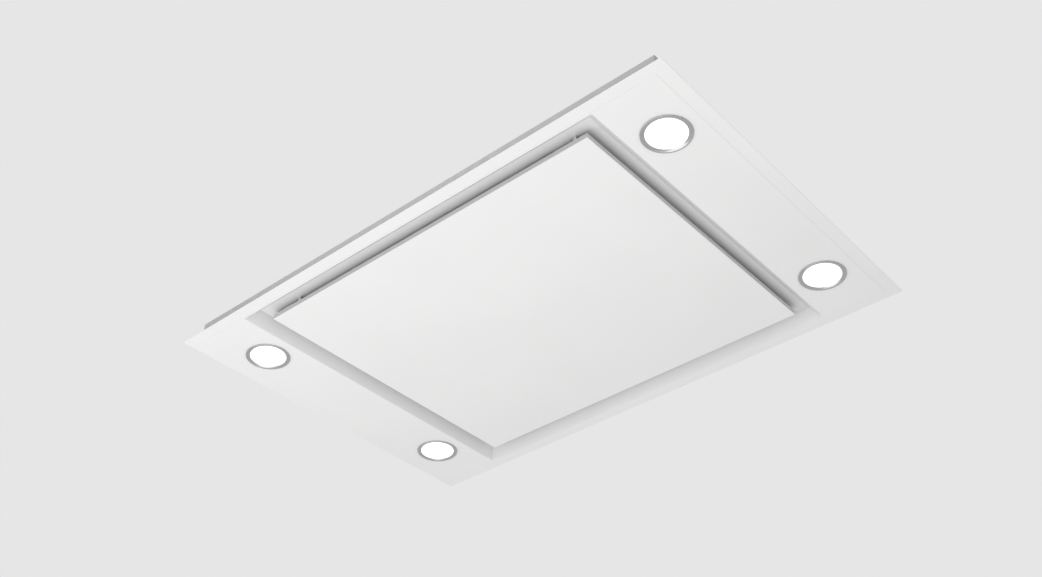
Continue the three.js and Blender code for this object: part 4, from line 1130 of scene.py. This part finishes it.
def pleated_sheet(low, high, bottom, top):
    """A zigzag sheet with rounded folds, of even thickness in height."""
    bm = bmesh.new()
    samples = PLEAT_STEPS * round((high.x - low.x) / PLEAT_PITCH)
    middle, swing = (bottom + top) / 2, (top - bottom - PLEAT_SHEET) / 2
    rows = []
    for i in range(samples + 1):
        x = low.x + (high.x - low.x) * i / samples
        wave = math.sin(2 * math.pi * i / PLEAT_STEPS)
        z = middle + swing * math.copysign(abs(wave) ** 0.8, wave)
        rows.append([bm.verts.new((x, y, z + step)) for y in (low.y, high.y)
                     for step in (-PLEAT_SHEET / 2, PLEAT_SHEET / 2)])
    for a, b in zip(rows, rows[1:]):
        for i, j in ((0, 1), (1, 3), (3, 2), (2, 0)):
            bm.faces.new((a[i], a[j], b[j], b[i]))
    for end in (rows[0], rows[-1]):
        bm.faces.new([end[i] for i in (0, 1, 3, 2)])
    bmesh.ops.recalc_face_normals(bm, faces=bm.faces)
    return bm


def expanded_mesh(low, high, z):
    """A net of stretched metal: diamonds with raised wires."""
    bm = bmesh.new()
    step_x, step_y = DIAMOND
    count_x = int((high.x - low.x) / step_x)
    count_y = int((high.y - low.y) / step_y)
    start_x = (low.x + high.x - count_x * step_x) / 2
    start_y = (low.y + high.y - count_y * step_y) / 2
    knots = {(i, j): bm.verts.new((start_x + i * step_x / 2, start_y + j * step_y / 2, z))
             for i in range(2 * count_x + 1) for j in range(2 * count_y + 1) if (i + j) % 2}
    for i in range(1, 2 * count_x):
        for j in range(1 + (i + 1) % 2, 2 * count_y, 2):
            bm.faces.new((knots[i - 1, j], knots[i, j - 1], knots[i + 1, j], knots[i, j + 1]))
    bm.normal_update()
    bmesh.ops.wireframe(bm, faces=bm.faces, thickness=WIRE, use_boundary=True, use_even_offset=True,
                        use_replace=True)
    bmesh.ops.recalc_face_normals(bm, faces=bm.faces)
    return bm


def filter_core(side):
    low, high = box_mm(f"filter_core_{side}")
    pleats = pleated_sheet(low, high, low.z + PLEAT_RISE, high.z)
    bm = gathered([pleats, expanded_mesh(low, high, low.z + WIRE)])
    add_piece(f"filter_pack_{side}", bm, "aluminium", f"filter_core_{side}")


def filter_latch(side):
    low, high = box_mm(f"filter_latch_{side}")
    grip_low = Vector((low.x + 5, low.y + 12, low.z))
    grip_high = Vector((high.x - 5, low.y + 22, high.z - 1.2))
    wedge = ((low.y - 1, high.z + 1), (low.y + 4, high.z + 1), (low.y - 1, high.z - 1.6))
    cuts = [loft([[Vector((x, y, z)) for y, z in wedge] for x in (low.x - 1, high.x + 1)])]
    for i in range(4):
        y = grip_low.y + 1.9 + GRIP_PITCH * i
        cuts.append(block((grip_low.x - 1, y - GRIP_HALF, low.z - 1),
                          (grip_high.x + 1, y + GRIP_HALF, low.z + 0.7)))
    plate = block((low.x, low.y, high.z - 2.5), high)
    add_piece(f"latch_slider_{side}", plate, "black_plastic", f"filter_latch_{side}",
              [block(grip_low, grip_high)], cuts, 0.3, f"{side}_latch")


# ---------------- back of the panel and its fittings
BACK_SHEET = 1
BACK_BORDER = 34
BACK_FALL = 2
BACK_PRESS = 0.5
BACK_BEND = 1.5
BACK_CORNER = 1.5
BACK_RIB = (7, 1.7)
BACK_RIB_REACH = 225
PANEL_RIBS = (-150, -50, 50, 150)
FITTING_X = 262
LEAF_RIVETS = (11, 231)
STRIKE_RIVET = (14, -235)
LEAF_SHEET = 1.5


def panel_back():
    low, high = box_mm("panel_back")
    floor = high.z - BACK_PRESS
    steps = [(-BACK_SHEET, high.z - BACK_SHEET), (-BACK_SHEET, low.z), (0, low.z)]
    steps += arc((-BACK_BEND, high.z - BACK_BEND), BACK_BEND, 0, 90, 5)
    steps += [(-BACK_BORDER, high.z), (-BACK_BORDER - BACK_FALL, floor)]
    bm = loft(frames(high.x, high.y, steps, BACK_CORNER))
    ribs = [bead((-BACK_RIB_REACH, y), (BACK_RIB_REACH, y), *BACK_RIB, floor) for y in PANEL_RIBS]
    add_piece("panel_liner", bm, "galvanised_sheet", "panel_back", ribs, body="panel")


def fitting_rivets():
    strike_top = box_mm("strike_plate_left")[0].z + LEAF_SHEET
    leaf_under = box_mm("hinge_fixed_leaf_left")[1].z - LEAF_SHEET
    leaf_x, leaf_y = LEAF_RIVETS
    strike_x, strike_y = STRIKE_RIVET
    moving = []
    fixed = []
    for middle in (-FITTING_X, FITTING_X):
        moving += [((middle + x, leaf_y, strike_top), UP) for x in (-leaf_x, leaf_x)]
        moving.append(((middle + strike_x, strike_y, strike_top), UP))
        fixed += [((middle + x, leaf_y, leaf_under), DOWN) for x in (-leaf_x, leaf_x)]
    fasteners("panel_rivets", rivet, moving, body="panel")
    fasteners("ledge_rivets", rivet, fixed)


# ---------------- fan
EYE_RADIUS = 82
BLADE_COUNT = 24
BLADE_SHEET = 1.2
BLADE_TIP = 0.55  # share of the sheet that is left at a blade's two edges
BLADE_SWEEP = 0.1
BLADE_INSET = 0.6
BLADE_STEPS = 6
DISH_RADIUS = 56
HUB_RADIUS = 14
HUB_LENGTH = 12
HUB_GAP = 3.2
HUB_SIDE = ((-0.8, 0), (0, 0.8), (0, 8), (2, 10))
DISH_UNDER = ((-1, -2), (2, 1))
DISH_OVER = ((0, 3), (-3, 0))
BACK_RIM = ((-0.4, -2), (0, -1.6), (0, -0.4), (-0.4, 0))
DISH_MOUTH = ((0.8, 0), (0, -0.8))
EYE_RING = ((0.5, 2), (0, 1.5), (0, 0.5), (0.5, 0))
OUTER_RING = ((-0.5, 0), (0, 0.5), (0, 1.5), (-0.5, 2))
SHAFT_BORE = 4.15
FAN_SHEET = 2
SCROLL_START = 112
SCROLL_GROWTH = 38
MOUTH_WIDTH = 136
MOUTH_RUN = 144.8
EYE_HOLE = 79.2
COVER_MARGIN = 4
COVER_HOLE = 20.5
COVER_SCREWS = (1.9, 2.6, 3.4, 4.1, 4.9, 5.6, 6.2)
COVER_SPIRAL = (1.45, 4.84, 1)
THROAT = (79, 77.8)
FAN_SEGMENTS = 120


def fan_middle():
    return tuple(middle_half("impeller")[0].xy)


def blade(z_low, z_high, outer):
    """One forward-curved blade, seen along the fan's axis as a thin curved strip."""
    front, back = [], []
    for i in range(BLADE_STEPS + 1):
        share = i / BLADE_STEPS
        radius = EYE_RADIUS + BLADE_INSET + (outer - EYE_RADIUS - 2 * BLADE_INSET) * share
        lead = BLADE_SWEEP * share * share
        thin = BLADE_SHEET / 2 * (BLADE_TIP if i in (0, BLADE_STEPS) else 1)
        point = Vector((radius * math.cos(lead), radius * math.sin(lead)))
        side = Vector((-math.sin(lead), math.cos(lead))) * thin
        front.append(point - side)
        back.insert(0, point + side)
    return loft([[Vector((*point, z)) for point in front + back] for z in (z_low, z_high)])


def impeller():
    low, high = box_mm("impeller")
    outer = (high.x - low.x) / 2
    hub_top = box_mm("motor_body")[0].z - HUB_GAP
    hub_low = hub_top - HUB_LENGTH
    profile = [(SHAFT_BORE, hub_low)] + near(HUB_RADIUS, hub_low, HUB_SIDE)
    profile += near(DISH_RADIUS, hub_top, DISH_UNDER) + [(DISH_RADIUS + FAN_SHEET, high.z - FAN_SHEET)]
    profile += near(outer, high.z, BACK_RIM) + near(DISH_RADIUS, high.z, DISH_MOUTH)
    profile += near(DISH_RADIUS, hub_top, DISH_OVER) + [(SHAFT_BORE, hub_top)]
    ring = near(EYE_RADIUS, low.z, EYE_RING) + near(outer, low.z, OUTER_RING)
    blades = []
    for i in range(BLADE_COUNT):
        strip = blade(low.z + FAN_SHEET / 2, high.z - FAN_SHEET / 2, outer)
        strip.transform(Matrix.Rotation(2 * math.pi * i / BLADE_COUNT, 4, "Z"))
        blades.append(placed(strip, (*fan_middle(), 0)))
    shell = turned(profile, FAN_SEGMENTS, fan_middle())
    added = [gathered(blades), turned(ring, FAN_SEGMENTS, fan_middle())]
    add_piece("fan_wheel", shell, "grey_plastic", "impeller", added, body="fan_rotor")


def scroll_outline(margin, run, z):
    """The spiral about the fan's axis, grown outwards, with its mouth at a distance along Y."""
    tongue = SCROLL_START + SCROLL_GROWTH - MOUTH_WIDTH
    first = math.acos(tongue / SCROLL_START)
    inner = tongue - margin
    start = math.acos(inner / (SCROLL_START + margin))
    points = []
    for i in range(FAN_SEGMENTS + 1):
        angle = start + (2 * math.pi - start) * i / FAN_SEGMENTS
        radius = SCROLL_START + SCROLL_GROWTH * (angle - first) / (2 * math.pi - first) + margin
        points.append((radius * math.cos(angle), radius * math.sin(angle)))
    points += [(SCROLL_START + SCROLL_GROWTH + margin, run), (inner, run)]
    x, y = fan_middle()
    return [Vector((x + a, y + b, z)) for a, b in points]


def fan_scroll():
    low, high = box_mm("fan_scroll")
    cover_low, cover_high = box_mm("scroll_cover")
    x, y = fan_middle()
    shell = loft([scroll_outline(FAN_SHEET, MOUTH_RUN, z) for z in (low.z, high.z)])
    inside = loft([scroll_outline(0, MOUTH_RUN + 2, z) for z in (low.z + FAN_SHEET, high.z + 1)])
    hole = drill(EYE_HOLE, low.z - 1, low.z + 4, FAN_SEGMENTS, (x, y, 0))
    add_piece("scroll_moulding", shell, "black_plastic", "fan_scroll", (), [inside, hole], 0.3)
    cover = loft([scroll_outline(COVER_MARGIN, MOUTH_RUN, z) for z in (cover_low.z, cover_high.z)])
    hole = drill(COVER_HOLE, cover_low.z - 1, cover_high.z + 1, 64, (x, y, 0))
    add_piece("scroll_lid", cover, "galvanised_sheet", "scroll_cover", (), [hole], 0.2)
    first, sweep, inset = COVER_SPIRAL
    places = []
    for angle in COVER_SCREWS:
        radius = SCROLL_START + SCROLL_GROWTH * (angle - first) / sweep + inset
        place = (x + radius * math.cos(angle), y + radius * math.sin(angle), cover_high.z)
        places.append((place, UP))
    fasteners("scroll_screws", pan_screw, places)


def inlet_ring():
    low, high = box_mm("inlet_ring")
    outer = (high.x - low.x) / 2
    throat, inner = THROAT
    turn = (inner + 4, low.z + 4)
    profile = [(outer, low.z + 0.3), (outer - 0.3, low.z)] + arc(turn, 4, 270, 180, 8)
    profile += [(inner, high.z - 0.4), (inner + 0.4, high.z), (throat, high.z), (throat, low.z + 4)]
    profile += arc(turn, 2.8, 180, 270, 8)
    profile += [(outer - 0.3, low.z + 1.2), (outer, low.z + 0.9)]
    bm = turned(profile, FAN_SEGMENTS, fan_middle())
    add_piece("inlet_cone", bm, "black_plastic", "inlet_ring")


# ---------------- motor and its fittings
MOTOR_BORE = 4.5
MOTOR_SEAT = (11.2, 7)
MOTOR_BOSS = (20, 6)
MOTOR_RADIUS = 48
MOTOR_FLANGE = (62, 3)
MOTOR_FOOT = ((-4, 0), (-1.5, 1), (-0.5, 4), (-0.5, 20), (0, 20.6))
MOTOR_BAND = ((0, 49.4), (-0.5, 50))
MOTOR_SHOULDER = ((-0.5, -1.5), (1, 0))
BOSS_EDGE = ((0, -6), (0, -0.6), (-0.6, 0))
MOTOR_GROOVE = ((0, 0), (-0.8, 0.4), (-0.8, 0.8), (0, 1.2))
MOTOR_GROOVES = [23 + 4.5 * i for i in range(6)]
BOLT_CIRCLE = 55
RACE = ((-6.85, 0.3), (-6.55, 0), (-5.1, 0), (-4.8, 0.5), (-2, 0.5), (-1.7, 0), (-0.3, 0),
        (0, 0.3))
SHAFT_END = ((-0.5, 0), (0, 0.5))
PIN_END = ((-0.4, 0), (0, 0.4))
NUT_APOTHEM = 6.06
NUT_EDGE = 0.5
CAN_BASE = ((-2, 0), (-0.5, 0.4), (0, 1.5))
CAN_TOP = ((0, -4), (-0.7, -3.4), (-0.7, -2.8), (0, -2.2), (0, -0.5), (-0.5, 0), (-1.2, 0),
           (-1.5, -1))
WAIST = 2


def turned_piece(name, slot, node, axis, segments, start, end=None, capped=True, body="hood"):
    """A piece turned about a CAD node's middle, from steps off the rim at both ends."""
    middle, half = middle_half(node)
    length = half.dot(Vector(axis))
    radius = half.y
    profile = near(radius, -length, start) + near(radius, length, end or mirrored(start))
    add_piece(name, placed(turned(profile, segments, capped=capped), middle, axis), slot, node, body=body)


def motor():
    """The motor's body with its bolts, bearings and shaft, and the fan's nut."""
    low, high = box_mm("motor_body")
    middle = fan_middle()
    seat, seat_depth = MOTOR_SEAT
    boss, boss_height = MOTOR_BOSS
    flange, flange_height = MOTOR_FLANGE
    ledge = high.z - boss_height - flange_height
    profile = near(0, low.z, ((MOTOR_BORE, seat_depth), (seat, seat_depth), (seat, 0)))
    profile += near(MOTOR_RADIUS, low.z, MOTOR_FOOT)
    for start in MOTOR_GROOVES:
        profile += near(MOTOR_RADIUS, low.z + start, MOTOR_GROOVE)
    profile += near(MOTOR_RADIUS, low.z, MOTOR_BAND) + near(MOTOR_RADIUS, ledge, MOTOR_SHOULDER)
    profile += near(flange, ledge, FLANGE_RIM) + near(boss, high.z, BOSS_EDGE)
    profile += near(0, high.z, ((seat, 0), (seat, -seat_depth), (MOTOR_BORE, -seat_depth)))
    case = turned(profile, 96, middle)
    add_piece("motor_case", case, "steel_fitting", "motor_body")
    bolts = arc(middle, BOLT_CIRCLE, 45, 315, 3)
    fasteners("motor_bolts", hex_screw, [((*bolt, ledge), DOWN) for bolt in bolts])
    for node in ("bearing_lower", "bearing_upper"):
        turned_piece(f"{node}_race", "steel_fitting", node, UP, 64, RACE, capped=False)
    turned_piece("fan_shaft", "steel_fitting", "motor_shaft", UP, 48, SHAFT_END, body="fan_rotor")
    low, high = box_mm("impeller_nut")
    rings = [circle(SHAFT_BORE, low.z, 24), circle(5.9, low.z, 24)]
    rings += [hexagon(NUT_APOTHEM, z) for z in (low.z + NUT_EDGE, high.z - NUT_EDGE)]
    rings += [circle(5.9, high.z, 24), circle(SHAFT_BORE, high.z, 24)]
    nut = placed(loft(rings, capped=False), (*middle, 0))
    add_piece("fan_nut", nut, "steel_fitting", "impeller_nut", body="fan_rotor")


def rubber_mount(number):
    low, high = box_mm(f"rubber_mount_{number}")
    middle, half = middle_half(f"rubber_mount_{number}")
    radius, height = half.x, high.z - low.z
    profile = [(radius - 0.4, low.z), (radius, low.z + 0.4), (radius, low.z + 2)]
    for i in range(1, 8):
        depth = WAIST * math.sin(math.pi * i / 8) ** 0.8
        profile.append((radius - depth, low.z + 2 + (height - 4) * i / 8))
    profile += [(radius, high.z - 2), (radius, high.z - 0.4), (radius - 0.4, high.z)]
    bm = turned(profile, 48, middle.xy, capped=True)
    add_piece(f"mount_bush_{number}", bm, "rubber", f"rubber_mount_{number}")


# ---------------- the whole
make_camera()
make_world()
make_floor()
for light in LIGHTS:
    soft_light(*light)
finishes = make_finishes()
dress_cad_nodes()
face_plate()
panel_skin()
for number in range(1, 5):
    lamp(number)
    lamp_body(number)
    rubber_mount(number)
    hanging_bracket(number)
body_tray()
motor_housing()
housing_lid()
outlet_collar()
flap(-1, "left")
flap(1, "right")
control_box()
control_box_lid()
cable_gland()
for filter_side in ("left", "right"):
    filter_frame(filter_side)
    filter_core(filter_side)
    filter_latch(filter_side)
panel_back()
fitting_rivets()
impeller()
fan_scroll()
inlet_ring()
motor()
turned_piece("capacitor_can", "aluminium", "run_capacitor", ALONG_X, 64, CAN_BASE, CAN_TOP)
for pin, pin_axis in (("flap_pin", UP), ("hinge_pin_left", ALONG_X), ("hinge_pin_right", ALONG_X)):
    turned_piece(f"{pin}_rod", "steel_fitting", pin, pin_axis, 32, PIN_END)

bpy.context.scene.view_settings.view_transform = "Standard"
bpy.context.view_layer.update()
